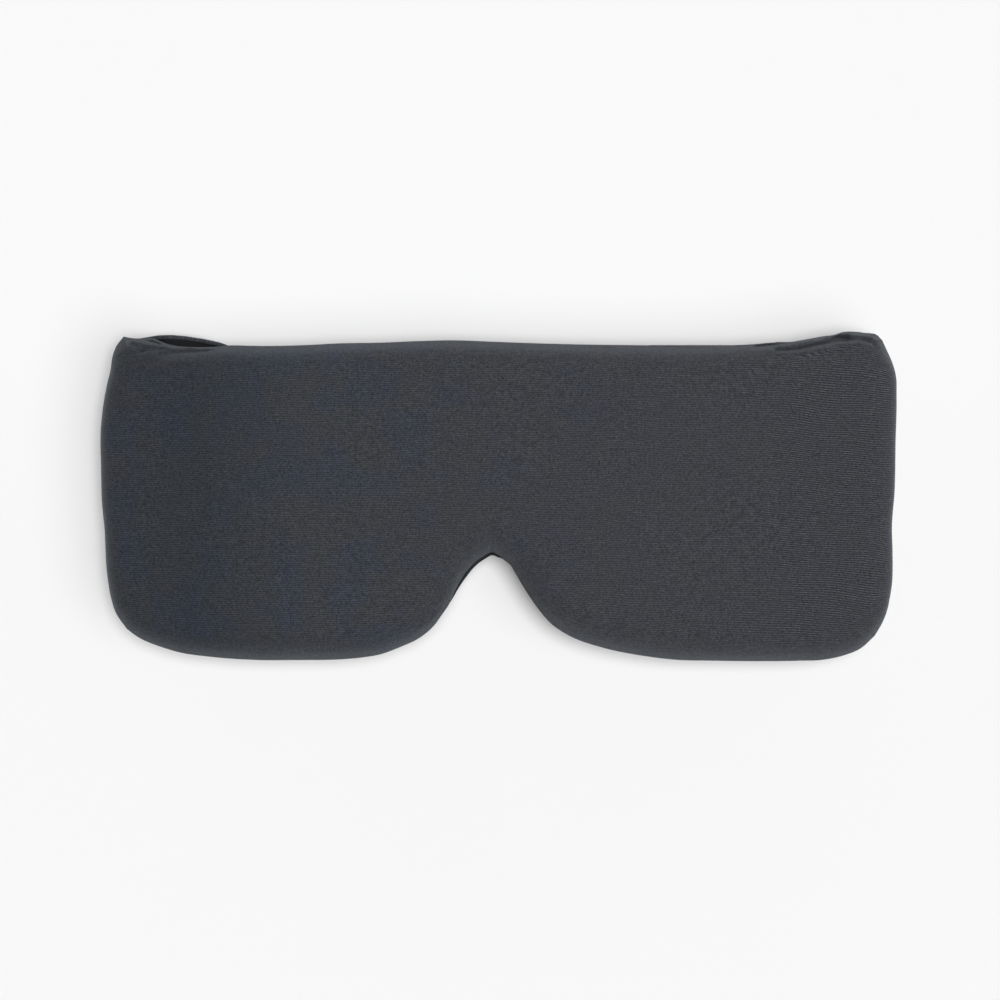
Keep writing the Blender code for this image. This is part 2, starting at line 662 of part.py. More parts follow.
def motors():
    """Four coin motors: a silicone boot, a steel case, an end plate with the shaft, and the rotor."""
    boot_wall = BOOT_RADIUS - MOTOR_RADIUS - 0.2
    plate_thick, shaft_long = 0.4, 2.2
    plate_bottom = CASE_BOTTOM + CASE_HEIGHT + 0.15
    for place, x, y in MOTORS:
        cup(f"motor_boot_{place}", SILICONE, (x, y, BOOT_BOTTOM), BOOT_RADIUS, BOOT_HEIGHT, boot_wall, 0.9)
        cup(f"motor_case_{place}", STEEL, (x, y, CASE_BOTTOM), MOTOR_RADIUS, CASE_HEIGHT, 0.35, 0.35)
        disc = cylinder_mesh((x, y, plate_bottom + plate_thick / 2), MOTOR_RADIUS, plate_thick, segments=20)
        plate = add_object(f"motor_plate_{place}", disc, STEEL)
        shaft_middle = plate_bottom + 0.1 - shaft_long / 2
        combine(plate, cylinder_mesh((x, y, shaft_middle), SHAFT_RADIUS, shaft_long, segments=12), "UNION")
        rotor(f"motor_rotor_{place}", x, y, CASE_BOTTOM + 1.55)


# ---------------------------------------------------------------- control pod, panel and battery

def screw_places():
    reach_x, reach_y = POD_SIZE[0] / 2 - SCREW_EDGE, POD_SIZE[1] / 2 - SCREW_EDGE
    return [(POD_X + sx * reach_x, POD_Y + sy * reach_y) for sx in (-1, 1) for sy in (-1, 1)]


def upright(place, low, high, radius):
    """Round bar along Z from low to high."""
    return cylinder_mesh((*place, (low + high) / 2), radius, high - low, segments=12)


def edge_openings():
    """Cutters for what comes out of the pod's forehead side: button stem, light pipe and charging port."""
    y = POD_Y + POD_SIZE[1] / 2
    return [
        cylinder_mesh((BUTTON_X, y, CONTROL_Z), 1.7, 5.0, axis="Y", segments=12),
        cylinder_mesh((LED_X, y, CONTROL_Z), 1.15, 5.0, axis="Y", segments=12),
        pill_mesh((PORT_X, y, CONTROL_Z), PORT_SIZE[0] + 2 * GAP, PORT_SIZE[1] + 2 * GAP, 5.0),
    ]


def case_half(name, bottom, top, closed_below):
    """One half of the pod: a box with round corners, hollow, open towards the other half."""
    tall = top - bottom
    half = add_object(name, box_mesh((POD_X, POD_Y, (bottom + top) / 2), (*POD_SIZE, tall)), CASE)
    bevel(half, 1.0, 1)
    shift = POD_WALL if closed_below else -POD_WALL
    hollow_size = (POD_SIZE[0] - 2 * POD_WALL, POD_SIZE[1] - 2 * POD_WALL, tall)
    combine(half, box_mesh((POD_X, POD_Y, (bottom + top) / 2 + shift), hollow_size))
    return half


def control_pod():
    """Both halves of the pod, with bosses under the board and posts above it for the four screws."""
    rear = case_half("pod_case_rear", POD_BOTTOM, POD_SPLIT, True)
    front = case_half("pod_case_front", POD_SPLIT + 0.2, POD_TOP, False)
    floor, roof = POD_BOTTOM + POD_WALL, POD_TOP - POD_WALL
    post_low = BOARD_BOTTOM + BOARD_THICK + ROOM
    for place in screw_places():
        combine(rear, upright(place, floor - GAP, BOARD_BOTTOM - ROOM, BOSS_RADIUS), "UNION")
        combine(front, upright(place, post_low, roof + 0.4, POST_RADIUS), "UNION")
        combine(rear, upright(place, POD_BOTTOM - SLACK, POD_BOTTOM + SLACK, SCREW_RECESS))
        combine(rear, upright(place, POD_BOTTOM, POD_SPLIT, SCREW_HOLE))
        combine(front, upright(place, post_low - SLACK, roof - 0.2, SCREW_HOLE))
    for half in (rear, front):
        for opening in edge_openings():
            combine(half, opening)
    combine(front, box_mesh((SLOT_X, POD_Y, POD_TOP), (3.4, 12.6, 4.0)))


def screws():
    """Pan-head screws driven from the back, each turned from one profile."""
    shank = [(0, 3.6), (0.55, 3.6), (0.75, 3.3), (0.75, 0.0)]
    profile = [*shank, (1.3, 0.0), (1.3, -0.35), (1.0, -0.65), (0, -0.65)]
    for k, (x, y) in enumerate(screw_places(), start=1):
        bm = bmesh.new()
        verts = [bm.verts.new((radius, 0, z)) for radius, z in profile]
        for a, b in zip(verts, verts[1:]):
            bm.edges.new((a, b))
        screw = add_object(f"case_screw_{k}", bm, STEEL)
        screw.location = Vector((x, y, POD_BOTTOM + 0.7)) * MM
        turn = screw.modifiers.new("Turned", "SCREW")
        turn.axis = "Z"
        turn.angle = 2 * math.pi
        turn.steps = turn.render_steps = 10
        turn.use_merge_vertices = True
        turn.merge_threshold = 1e-5


def pod_wall_y():
    """Inner face of the pod's wall on the forehead side."""
    return POD_Y + POD_SIZE[1] / 2 - POD_WALL


def port_shell():
    """Open metal shell with round ends and the contact tongue inside."""
    long, skin = 7.3, 0.3
    front = PANEL_FACE_Y - 0.5
    port = add_object("usb_c_port", pill_mesh((PORT_X, front - long / 2, CONTROL_Z), *PORT_SIZE, long), STEEL)
    bore_y = front - long / 2 + 2.5 * skin
    bore = pill_mesh((PORT_X, bore_y, CONTROL_Z), PORT_SIZE[0] - 2 * skin, PORT_SIZE[1] - 2 * skin, 6.8)
    combine(port, bore)
    combine(port, box_mesh((PORT_X, PANEL_FACE_Y - 4.8, CONTROL_Z), (6.4, 5.6, 0.7)), "UNION")


def board_parts():
    """Circuit board on its bosses with the controller, side switch, charging socket and light pipe."""
    board_size = (POD_SIZE[0] - 2 * POD_WALL - 0.8, POD_SIZE[1] - 2 * POD_WALL - 0.8, BOARD_THICK)
    board_middle = (POD_X, POD_Y, BOARD_BOTTOM + BOARD_THICK / 2)
    board = add_object("circuit_board", box_mesh(board_middle, board_size), BOARD)
    for place in screw_places():
        combine(board, upright(place, BOARD_BOTTOM - SLACK, POD_SPLIT, SCREW_HOLE + 0.05))
    on_board = BOARD_BOTTOM + BOARD_THICK + ROOM
    chip = box_mesh((POD_X + 1.0, POD_Y - 3.0, on_board + CHIP_SIZE[2] / 2), CHIP_SIZE)
    bevel(add_object("controller_chip", chip, CHIP), 0.15, 1)
    inductor = box_mesh((POD_X + 12.5, POD_Y - 4.0, on_board + INDUCTOR_SIZE[2] / 2), INDUCTOR_SIZE)
    bevel(add_object("charge_inductor", inductor, CHIP), 0.2, 1)

    switch_middle = (BUTTON_X, pod_wall_y() - 3.0, on_board + SWITCH_SIZE[2] / 2)
    body = add_object("push_switch", box_mesh(switch_middle, SWITCH_SIZE), CHIP)
    well = (BUTTON_X, pod_wall_y() - 1.3, CONTROL_Z)
    combine(body, cylinder_mesh(well, PLUNGER_RADIUS + 0.25, SWITCH_SIZE[1], axis="Y", segments=12))
    bevel(body, 0.15, 1)

    port_shell()
    back, front = pod_wall_y() - 3.0, PANEL_FACE_Y - 0.1
    pipe_middle = (LED_X, (back + front) / 2, CONTROL_Z)
    pipe = cylinder_mesh(pipe_middle, LIGHT_RADIUS, front - back, axis="Y", segments=12)
    add_object("status_light_pipe", pipe, LIGHT_PIPE)


def control_panel():
    """Silicone panel set in the top edge, with the button, light and charging port through it."""
    middle_y, thick = (PANEL_FACE_Y + PANEL_BACK_Y) / 2, PANEL_FACE_Y - PANEL_BACK_Y
    plate = box_mesh((PANEL_X, middle_y, CONTROL_Z), (PANEL_SIZE[0], thick, PANEL_SIZE[1]))
    panel = add_object("control_panel", plate, SILICONE)
    bevel(panel, 0.8, 2)
    through = 4 * thick
    for x, (wide, high) in ((BUTTON_X, BUTTON_SIZE), (PORT_X, PORT_SIZE)):
        combine(panel, pill_mesh((x, middle_y, CONTROL_Z), wide + 2 * GAP, high + 2 * GAP, through))
    light = (LED_X, middle_y, CONTROL_Z)
    combine(panel, cylinder_mesh(light, LIGHT_RADIUS + GAP, through, axis="Y", segments=12))


def power_button():
    """Pill-shaped cap with a stem, and the switch plunger that it pushes. Both slide along Y."""
    travel_room, cap_deep = 1.0, 1.3
    cap_y = PANEL_FACE_Y + GAP - cap_deep / 2
    origin = (BUTTON_X, PANEL_FACE_Y, CONTROL_Z)
    cap = pill_mesh((BUTTON_X, cap_y, CONTROL_Z), *BUTTON_SIZE, cap_deep)
    button = add_object("power_button", cap, SILICONE, origin)
    bevel(button, 0.35, 2)
    stem_back = pod_wall_y() - 0.1
    stem_middle = (BUTTON_X, (stem_back + cap_y) / 2, CONTROL_Z)
    stem = cylinder_mesh(stem_middle, STEM_RADIUS, cap_y - stem_back, axis="Y", segments=12)
    combine(button, stem, "UNION")
    back, front = pod_wall_y() - 3.0 + travel_room, stem_back - GAP
    plunger_middle = (BUTTON_X, (back + front) / 2, CONTROL_Z)
    plunger = cylinder_mesh(plunger_middle, PLUNGER_RADIUS, front - back, axis="Y", segments=14)
    add_object("switch_plunger", plunger, CHIP, origin)


def battery():
    middle = (*BATTERY_CENTRE, BATTERY_BOTTOM + BATTERY_SIZE[2] / 2)
    bevel(add_object("battery_cell", box_mesh(middle, BATTERY_SIZE), CELL), 1.2, 2)


def leads():
    """One lead from the pod's slot to each motor and to the battery, none crossing another."""
    slot_x = SLOT_X + 0.9
    low = BOARD_BOTTOM + BOARD_THICK + 0.8

    def from_slot(y):
        rise = [(0, low), (0, LEAD_Z - 3.0), (0.5, LEAD_Z - 1.0), (2.0, LEAD_Z - 0.1), (4.2, LEAD_Z)]
        return [(slot_x - back, y, z) for back, z in rise]

    def to_motor(x, y, side):
        return [(x + side * 3.0, y, LEAD_Z), (x + side * 1.2, y, LEAD_Z - 0.2), (x, y, LEAD_Z - 0.55)]

    y = [POD_Y + 2.6 * k for k in (-2, -1, 0, 1, 2)]
    over_the_eyes = [(38.0, 25.5), (30.0, 18.5), (10.0, 16.5), (-20.0, 16.0), (-45.0, 14.0), (-66.0, 4.0)]
    routes = {
        "right_temple": (y[0], [(39.0, 23.5), (40.5, 15.0), (52.0, 7.0), (68.0, 1.0)], -1),
        "left_temple": (y[1], over_the_eyes, 1),
        "right_brow": (y[2], [(39.0, 30.5)], 1),
        "left_brow": (y[3], [(38.0, 36.3), (20.0, 36.8), (0.0, 36.0), (-14.0, 32.5)], 1),
    }
    for name, x_end, y_end in MOTORS:
        start, middle, side = routes[name]
        flat = [(x, y_flat, LEAD_Z) for x, y_flat in middle]
        lead(f"motor_lead_{name}", from_slot(start) + flat + to_motor(x_end, y_end, side))
    flat = [(38.0, 40.0), (20.0, 40.6), (-20.0, 40.4), (-43.0, 37.5), (-55.0, 34.5)]
    end = [(-61.0, 33.0, LEAD_Z - 0.2), (-65.0, 32.4, LEAD_Z - 1.0)]
    lead("battery_lead", from_slot(y[4]) + [(x, y_flat, LEAD_Z) for x, y_flat in flat] + end)


def build():
    front_cover()
    face_lining()
    rear_foam()
    inner_layers()
    seam_piping()
    nose_baffle()
    eye_cushion("left_eye_cushion", -1)
    eye_cushion("right_eye_cushion", 1)
    head_bands()
    closure()
    band_anchor("left_band_anchor", -1)
    band_anchor("right_band_anchor", 1)
    motors()
    control_pod()
    screws()
    board_parts()
    control_panel()
    power_button()
    battery()
    leads()


build()
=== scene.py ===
"""Looks of the padded eye massager mask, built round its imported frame.

The mask lies on its folded head bands on a pale floor, front up, seen from straight above. Sizes in this
file are in millimetres, in the frame's own axes, and become metres where a mesh is made.
"""

import functools
import math

import bmesh
import bpy
import numpy as np
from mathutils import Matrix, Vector, noise


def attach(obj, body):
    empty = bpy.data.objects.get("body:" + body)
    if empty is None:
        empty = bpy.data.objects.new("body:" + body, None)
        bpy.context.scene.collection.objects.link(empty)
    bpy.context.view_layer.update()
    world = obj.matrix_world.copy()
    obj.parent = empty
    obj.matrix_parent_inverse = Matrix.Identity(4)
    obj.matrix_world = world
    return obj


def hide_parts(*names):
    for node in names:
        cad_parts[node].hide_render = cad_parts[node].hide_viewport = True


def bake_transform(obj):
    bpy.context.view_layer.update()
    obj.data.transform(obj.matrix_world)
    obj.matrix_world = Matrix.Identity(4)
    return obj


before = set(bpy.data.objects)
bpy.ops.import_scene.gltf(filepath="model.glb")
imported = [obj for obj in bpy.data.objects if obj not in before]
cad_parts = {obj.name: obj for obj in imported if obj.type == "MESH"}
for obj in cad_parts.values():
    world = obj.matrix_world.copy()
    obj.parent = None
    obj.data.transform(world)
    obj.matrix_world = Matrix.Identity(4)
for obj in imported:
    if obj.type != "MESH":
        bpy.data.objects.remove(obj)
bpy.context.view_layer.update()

MM = 0.001

# The cover's outline seen from the front. The top and bottom edges run from left to right, the two side
# edges from bottom to top.
TOP_EDGE = [
    (-112.3, 47.8), (-109.5, 47.3), (-106.0, 47.3), (-103.4, 47.3), (-101.0, 46.2), (-98.0, 45.3),
    (-92.0, 44.7), (-86.0, 44.7), (-81.5, 45.1), (-71.5, 45.0), (-59.5, 45.2), (-47.5, 45.8), (-35.5, 46.0),
    (-23.5, 46.5), (-14.5, 46.7), (0.5, 46.2), (18.5, 45.6), (36.5, 45.3), (60.5, 45.2), (75.4, 45.6),
    (82.9, 46.2), (87.5, 46.2), (92.3, 47.0), (98.0, 48.0), (100.5, 48.3), (103.0, 49.1), (106.5, 49.3),
    (110.0, 48.9), (113.2, 48.4), (115.0, 46.6),
]  # fmt: skip
RIGHT_EDGE = [
    (112.7, -41.9), (114.8, -38.4), (116.4, -34.5), (117.2, -30.9), (117.8, -27.3), (118.1, -17.0),
    (117.9, -9.3), (118.7, 1.5), (119.0, 15.9), (119.3, 30.3), (119.1, 36.0), (118.1, 39.7), (116.3, 43.8),
    (115.0, 46.6),
]  # fmt: skip
BOTTOM_EDGE = [
    (-111.4, -39.8), (-108.5, -42.0), (-99.8, -45.7), (-95.6, -46.9), (-86.6, -48.2), (-71.5, -49.2),
    (-60.0, -49.2), (-47.5, -49.0), (-41.5, -48.5), (-35.5, -47.5), (-29.7, -45.4), (-23.3, -42.3),
    (-19.0, -38.5), (-17.3, -36.1), (-14.5, -31.9), (-12.6, -27.6), (-10.4, -23.7), (-7.7, -20.5),
    (-4.4, -18.0), (-2.1, -16.8), (0.3, -18.0), (1.9, -19.4), (3.3, -20.4), (4.5, -22.2), (7.3, -27.0),
    (9.8, -30.9), (12.4, -34.5), (15.8, -38.3), (21.2, -41.9), (31.3, -45.5), (42.5, -47.8),
    (53.0, -49.1), (64.7, -49.4), (90.5, -49.4), (96.5, -49.2), (102.5, -48.1), (108.5, -45.7),
    (112.7, -41.9),
]  # fmt: skip
LEFT_EDGE = [
    (-111.4, -39.8), (-114.8, -34.7), (-116.0, -30.9), (-117.2, -24.0), (-118.1, -9.3), (-118.8, -2.1),
    (-119.1, 8.7), (-119.2, 19.5), (-118.5, 26.7), (-117.2, 33.9), (-116.3, 37.5), (-115.8, 41.1),
    (-114.6, 44.7), (-112.3, 47.8),
]  # fmt: skip

# The pad: heights that the cover and the lining share with the frame
PAD_SIZE = (238.0, 95.0)
WIDEST_Z = 20.0
FRONT_Z = 30.9
SEAM_Z = 13.5
FACE_Z = 11.0
ROUND_REACH, ROUND_POWER = 10.8, 2.35
COVER_THICK = 0.8
LINING_THICK = 0.7
LINING_INSET = 2.7
PIPING_INSET, PIPING_RADIUS, PIPING_Z = 1.85, 1.0, 13.95

# Eye cavities and the padded rings round them
EYE_X, EYE_Y = 36.0, -4.0
CAVITY_HALF = (25.0, 17.5)
CUSHION_WIDTH = 5.5
CUSHION_Z, CUSHION_HALF_HIGH = 9.0, 1.45

# Head bands and the tapes on them
BAND_HALF_THICK = 1.0
RIGHT_TIP_X, LEFT_TIP_X = -42.0, -2.5
TAPE_THICK, TAPE_CORNER = 0.8, 2.5
HOOK_CENTRE, HOOK_SIZE = (-21.0, 20.0, 2.8), (30.0, 30.0)
LOOP_CENTRE, LOOP_SIZE = (-28.0, 20.0, 3.9), (44.0, 32.0)


# ---- curves and grids

def run_along(line):
    """Length of a line up to each of its points."""
    return np.concatenate([[0.0], np.cumsum(np.linalg.norm(np.diff(line, axis=0), axis=1))])


def look_up(places, knots, table):
    """Each column of a table, interpolated at the given places."""
    return np.stack([np.interp(places, knots, column) for column in table.T], axis=-1)


def evenly_spaced(line, count):
    run = run_along(line)
    return look_up(np.linspace(0, run[-1], count), run, line)


def even_loop(line, count):
    """count points at even steps round a closed line."""
    return evenly_spaced(np.concatenate([line, line[:1]]), count + 1)[:-1]


def smooth_curve(points, count, steps=24):
    """count points at even steps along a smooth curve through the given ones."""
    points = np.array(points, float)
    chord = run_along(points)
    slope = np.gradient(points, chord, axis=0)
    dense = []
    for k in range(len(points) - 1):
        span = chord[k + 1] - chord[k]
        t = np.linspace(0, 1, steps, endpoint=False)[:, None]
        dense.append(
            (2 * t**3 - 3 * t**2 + 1) * points[k]
            + (t**3 - 2 * t**2 + t) * span * slope[k]
            + (3 * t**2 - 2 * t**3) * points[k + 1]
            + (t**3 - t**2) * span * slope[k + 1]
        )
    return evenly_spaced(np.concatenate([*dense, points[-1:]]), count)


CURVE_COUNT = 361
EDGES = tuple(smooth_curve(edge, CURVE_COUNT) for edge in (BOTTOM_EDGE, RIGHT_EDGE, TOP_EDGE, LEFT_EDGE))


def closed_line(bottom, right, top, left):
    return np.concatenate([bottom[:-1], right[:-1], top[:0:-1], left[:0:-1]])


def line_distance(points, line, closed=True):
    """How far each point lies from a line of points."""
    start = line if closed else line[:-1]
    step = (np.roll(line, -1, axis=0) if closed else line[1:]) - start
    found = []
    for part in np.array_split(points, max(1, len(points) // 2000)):
        away = part[:, None, :] - start[None]
        share = np.clip((away * step).sum(-1) / (step * step).sum(-1), 0, 1)
        found.append(np.linalg.norm(away - share[..., None] * step, axis=-1).min(1))
    return np.concatenate(found)


@functools.lru_cache
def edges(inset):
    """The four edges of the pad, all moved inwards by inset."""
    if inset == 0:
        return EDGES
    moved = []
    for curve, turn in zip(EDGES, (1, 1, -1, -1)):
        way = np.gradient(curve, axis=0)
        inward = turn * np.stack([-way[:, 1], way[:, 0]], axis=1)
        line = curve + inset * inward / np.linalg.norm(inward, axis=1)[:, None]
        moved.append(line[line_distance(line, closed_line(*EDGES)) > 0.97 * inset])
    bottom, right, top, left = moved
    low_right, high_right = (bottom[-1] + right[0]) / 2, (right[-1] + top[-1]) / 2
    low_left, high_left = (bottom[0] + left[0]) / 2, (left[-1] + top[0]) / 2
    ends = ((low_left, low_right), (low_right, high_right), (high_left, high_right), (low_left, high_left))
    return tuple(
        evenly_spaced(np.concatenate([[first], line, [last]]), CURVE_COUNT)
        for line, (first, last) in zip(moved, ends)
    )


@functools.lru_cache
def outline(inset):
    return closed_line(*edges(inset))[::2]


def pad_point(u, v, inset=0.0):
    """Points inside the pad's outline at shares u across and v up."""
    places = np.linspace(0, 1, CURVE_COUNT)
    bottom, right, top, left = edges(inset)
    u1, v1 = u[..., None], v[..., None]
    sides = (1 - v1) * look_up(u, places, bottom) + v1 * look_up(u, places, top)
    sides += (1 - u1) * look_up(v, places, left) + u1 * look_up(v, places, right)
    low = (1 - v1) * ((1 - u1) * left[0] + u1 * right[0])
    high = v1 * ((1 - u1) * left[-1] + u1 * right[-1])
    return sides - low - high


def rounding(depth, reach, power):
    """Round edge: 0 at the rim, 1 from reach inwards."""
    t = np.clip(depth / reach, 0, 1)
    return (1 - (1 - t) ** power) ** (1 / power)


def ease(t):
    """Smooth step from 0 to 1."""
    t = np.clip(t, 0, 1)
    return t * t * (3 - 2 * t)


def bell(distance, width):
    return np.exp(-((distance / width) ** 2))


def soft_noise(points, size, seed=0.0):
    """Smooth noise of about -1 to 1 at each point, with features of that size."""
    return np.array([noise.noise(Vector((x / size, y / size, seed))) for x, y in points[:, :2]])


def graded(length, edge_steps, inner_count):
    """Shares from 0 to 1, at edge_steps from both ends and at even steps between."""
    steps = np.array(edge_steps) / length
    inner = np.linspace(steps[-1], 1 - steps[-1], inner_count + 1)
    return np.concatenate([steps[:-1], inner, 1 - steps[:-1][::-1]])


def grid_faces(columns, rows):
    """Quads of a grid whose points run along a row first."""
    quads = []
    for j in range(rows - 1):
        for i in range(columns - 1):
            a, b = j * columns + i, (j + 1) * columns + i
            quads.append((a, a + 1, b + 1, b))
    return quads


def tube_faces(lines, count, closed):
    """Quads round a tube of lines that run along it, count points each. closed joins its two ends."""
    quads = []
    for k in range(lines):
        a, b = k * count, (k + 1) % lines * count
        for i in range(count if closed else count - 1):
            n = (i + 1) % count
            quads.append((a + i, b + i, b + n, a + n))
    return quads


def stack_faces(rings, count, base=0):
    """Quads between stacked rings of count points each, and a face over each end."""
    faces = []
    for ring in range(rings - 1):
        for k in range(count):
            a, b = base + ring * count + k, base + ring * count + (k + 1) % count
            faces.append((a, b, b + count, a + count))
    faces.append([base + k for k in reversed(range(count))])
    faces.append([base + (rings - 1) * count + k for k in range(count)])
    return faces


def round_rectangle(low, high, radius, steps=6):
    """Corner arcs of a rectangle with round corners, one after the other."""
    (x0, y0), (x1, y1) = low, high
    centres = ((x1 - radius, y1 - radius), (x0 + radius, y1 - radius),
               (x0 + radius, y0 + radius), (x1 - radius, y0 + radius))
    rim = []
    for quarter, (x, y) in enumerate(centres):
        for k in range(steps + 1):
            angle = math.radians(90 * quarter + 90 * k / steps)
            rim.append((x + radius * math.cos(angle), y + radius * math.sin(angle)))
    return np.array(rim)


# ---- objects

def make_object(name, points, faces, finish, uv=None, smooth=True):
    """A mesh object from points in millimetres. uv gives one pair, in millimetres, for each point."""
    mesh = bpy.data.meshes.new(name)
    mesh.from_pydata([tuple(p) for p in np.asarray(points, float) * MM], [], faces)
    if uv is not None:
        layer = mesh.uv_layers.new(name="cloth")
        for loop, slot in zip(mesh.loops, layer.data):
            slot.uv = uv[loop.vertex_index]
    mesh.materials.append(finish)
    if smooth:
        mesh.shade_smooth()
    mesh.update()
    obj = bpy.data.objects.new(name, mesh)
    bpy.context.scene.collection.objects.link(obj)
    return obj


def edit_mesh(obj, change):
    bm = bmesh.new()
    bm.from_mesh(obj.data)
    change(bm)
    bm.to_mesh(obj.data)
    bm.free()


def merge_close(bm):
    bmesh.ops.remove_doubles(bm, verts=bm.verts, dist=0.004 * MM)


def face_outwards(bm):
    bmesh.ops.recalc_face_normals(bm, faces=bm.faces)


def shell(obj, thickness, inwards=-1.0):
    """Gives an open sheet its thickness, as real faces."""
    modifier = obj.modifiers.new("Thickness", "SOLIDIFY")
    modifier.thickness = thickness * MM
    modifier.offset = inwards


def apply_modifiers(obj):
    bpy.context.view_layer.update()
    made = bpy.data.meshes.new_from_object(obj.evaluated_get(bpy.context.evaluated_depsgraph_get()))
    obj.modifiers.clear()
    obj.data = made


def tube(name, loop, radius, finish, sides=8):
    """Round tube along a closed path. Its uv runs in millimetres along and around it."""
    path = np.array(loop, float)
    way = np.roll(path, -1, axis=0) - np.roll(path, 1, axis=0)
    way /= np.linalg.norm(way, axis=1)[:, None]
    up = np.where(np.abs(way[:, 2:3]) > 0.9, (1.0, 0.0, 0.0), (0.0, 0.0, 1.0))
    across = np.cross(way, up)
    across /= np.linalg.norm(across, axis=1)[:, None]
    up = np.cross(across, way)
    run = run_along(path)
    points, uv = [], []
    for k in range(sides):
        angle = 2 * math.pi * k / sides
        points.append(path + radius * (math.cos(angle) * across + math.sin(angle) * up))
        uv += [(s, radius * angle) for s in run]
    return make_object(name, np.concatenate(points), tube_faces(sides, len(path), True), finish, uv)


# One stitch: the share of the pitch that shows, its height over the cloth and its thickness along it
STITCH_SHARE = 0.68
STITCH_RISE = np.array([-0.12, 0.1, 0.17, 0.1, -0.12])
STITCH_RADIUS = 0.17 * np.array([0.55, 0.95, 1.0, 0.95, 0.55])
THREAD_SIDES = 5


def stitch_row(path, normal, pitch):
    """Points and faces of thread stitches along a line: each rises out of the cloth and dips back."""
    path = np.array(path, float)
    normal = np.broadcast_to(np.array(normal, float), path.shape)
    run = run_along(path)
    stations = len(STITCH_RISE)
    points, faces = [], []
    for k in range(int(run[-1] // pitch)):
        places = k * pitch + np.linspace(0, pitch * STITCH_SHARE, stations) + (1 - STITCH_SHARE) * pitch / 2
        line, out = look_up(places, run, path), look_up(places, run, normal)
        out /= np.linalg.norm(out, axis=1)[:, None]
        line += out * STITCH_RISE[:, None]
        across = np.cross(np.gradient(line, axis=0), out)
        across /= np.linalg.norm(across, axis=1)[:, None]
        faces += stack_faces(stations, THREAD_SIDES, len(points))
        for j in range(stations):
            for m in range(THREAD_SIDES):
                angle = 2 * math.pi * m / THREAD_SIDES
                ring = math.cos(angle) * across[j] + math.sin(angle) * out[j]
                points.append(line[j] + STITCH_RADIUS[j] * ring)
    return points, faces


def stitches(name, rows, pitch=3.0):
    """One object of thread for several rows, each (path, normal)."""
    points, faces = [], []
    for path, normal in rows:
        more, quads = stitch_row(path, normal, pitch)
        faces += [[k + len(points) for k in quad] for quad in quads]
        points += more
    return make_object(name, points, faces, THREAD)


# ---- materials

def add(tree, kind, wires=None, **settings):
    """A shader node. wires maps inputs, by name or number, to sockets or values."""
    node = tree.nodes.new("ShaderNode" + kind)
    for key, value in settings.items():
        setattr(node, key, value)
    for key, value in (wires or {}).items():
        if isinstance(value, bpy.types.NodeSocket):
            tree.links.new(value, node.inputs[key])
        else:
            node.inputs[key].default_value = value
    return node


def calc(tree, operation, first, second=0.0, third=None):
    wires = {0: first, 1: second}
    if third is not None:
        wires[2] = third
    return add(tree, "Math", wires, operation=operation).outputs[0]


def rescale(tree, value, low, high, to_low=0.0, to_high=1.0):
    """value between low and high, carried over to between to_low and to_high and held there."""
    wires = {"Value": value, "From Min": low, "From Max": high, "To Min": to_low, "To Max": to_high}
    return add(tree, "MapRange", wires).outputs[0]


def start(name, roughness, metallic=0.0, coords="Object", sheen=0.0, sheen_tint=(1.0, 1.0, 1.0)):
    """A new material: its tree, its shader, and coordinates in millimetres."""
    made = bpy.data.materials.new(name)
    made.use_nodes = True
    tree = made.node_tree
    shader = tree.nodes["Principled BSDF"]
    shader.inputs["Roughness"].default_value = roughness
    shader.inputs["Metallic"].default_value = metallic
    if sheen:
        shader.inputs["Sheen Weight"].default_value = sheen
        shader.inputs["Sheen Roughness"].default_value = 0.45
        shader.inputs["Sheen Tint"].default_value = (*sheen_tint, 1.0)
    source = add(tree, "TexCoord").outputs[coords]
    scale = 1.0 if coords == "UV" else 1 / MM
    place = add(tree, "VectorMath", {0: source, "Scale": scale}, operation="SCALE").outputs[0]
    return made, tree, shader, place


def noise_node(tree, place, scale, detail=2.0, roughness=0.5, distortion=0.0):
    wires = {"Vector": place, "Scale": scale, "Detail": detail, "Roughness": roughness}
    return add(tree, "TexNoise", {**wires, "Distortion": distortion}).outputs[0]


def ramp(tree, factor, stops):
    """Colours between the stops, each (position, colour)."""
    node = add(tree, "ValToRGB", {"Fac": factor})
    elements = node.color_ramp.elements
    elements[0].position, elements[0].color = stops[0][0], (*stops[0][1], 1.0)
    elements[1].position, elements[1].color = stops[-1][0], (*stops[-1][1], 1.0)
    for position, colour in stops[1:-1]:
        elements.new(position).color = (*colour, 1.0)
    return node.outputs[0]


def multiply(tree, first, second, factor=1.0):
    """Two colours multiplied."""
    node = add(tree, "Mix", {0: factor}, data_type="RGBA", blend_type="MULTIPLY")
    tree.links.new(first, node.inputs[6])
    tree.links.new(second, node.inputs[7])
    return node.outputs[2]


def bump(tree, shader, height, distance):
    node = add(tree, "Bump", {"Height": height, "Distance": distance * MM, "Strength": 1.0})
    tree.links.new(node.outputs[0], shader.inputs["Normal"])


def waves(tree, value, period):
    """A sine of value, from 0 to 1, with that period."""
    turned = calc(tree, "SINE", calc(tree, "MULTIPLY", value, 2 * math.pi / period))
    return calc(tree, "MULTIPLY_ADD", turned, 0.5, 0.5)


def tint(share, colour):
    return tuple(min(1.0, share * c) for c in colour)


def grey(level):
    return (level, level, level)


RIB_PERIOD = 0.66
LOOP_PERIOD, LOOP_STEP = 0.62, 0.31
RIB_TINT, LOOP_TINT = 0.22, 0.10
SHARPER_RIB_TINT = 0.50
SHARPER_FROM_X, SHARPER_TO_X = 68.0, 90.0
SWING_FROM_X, SWING = 60.0, 0.0010

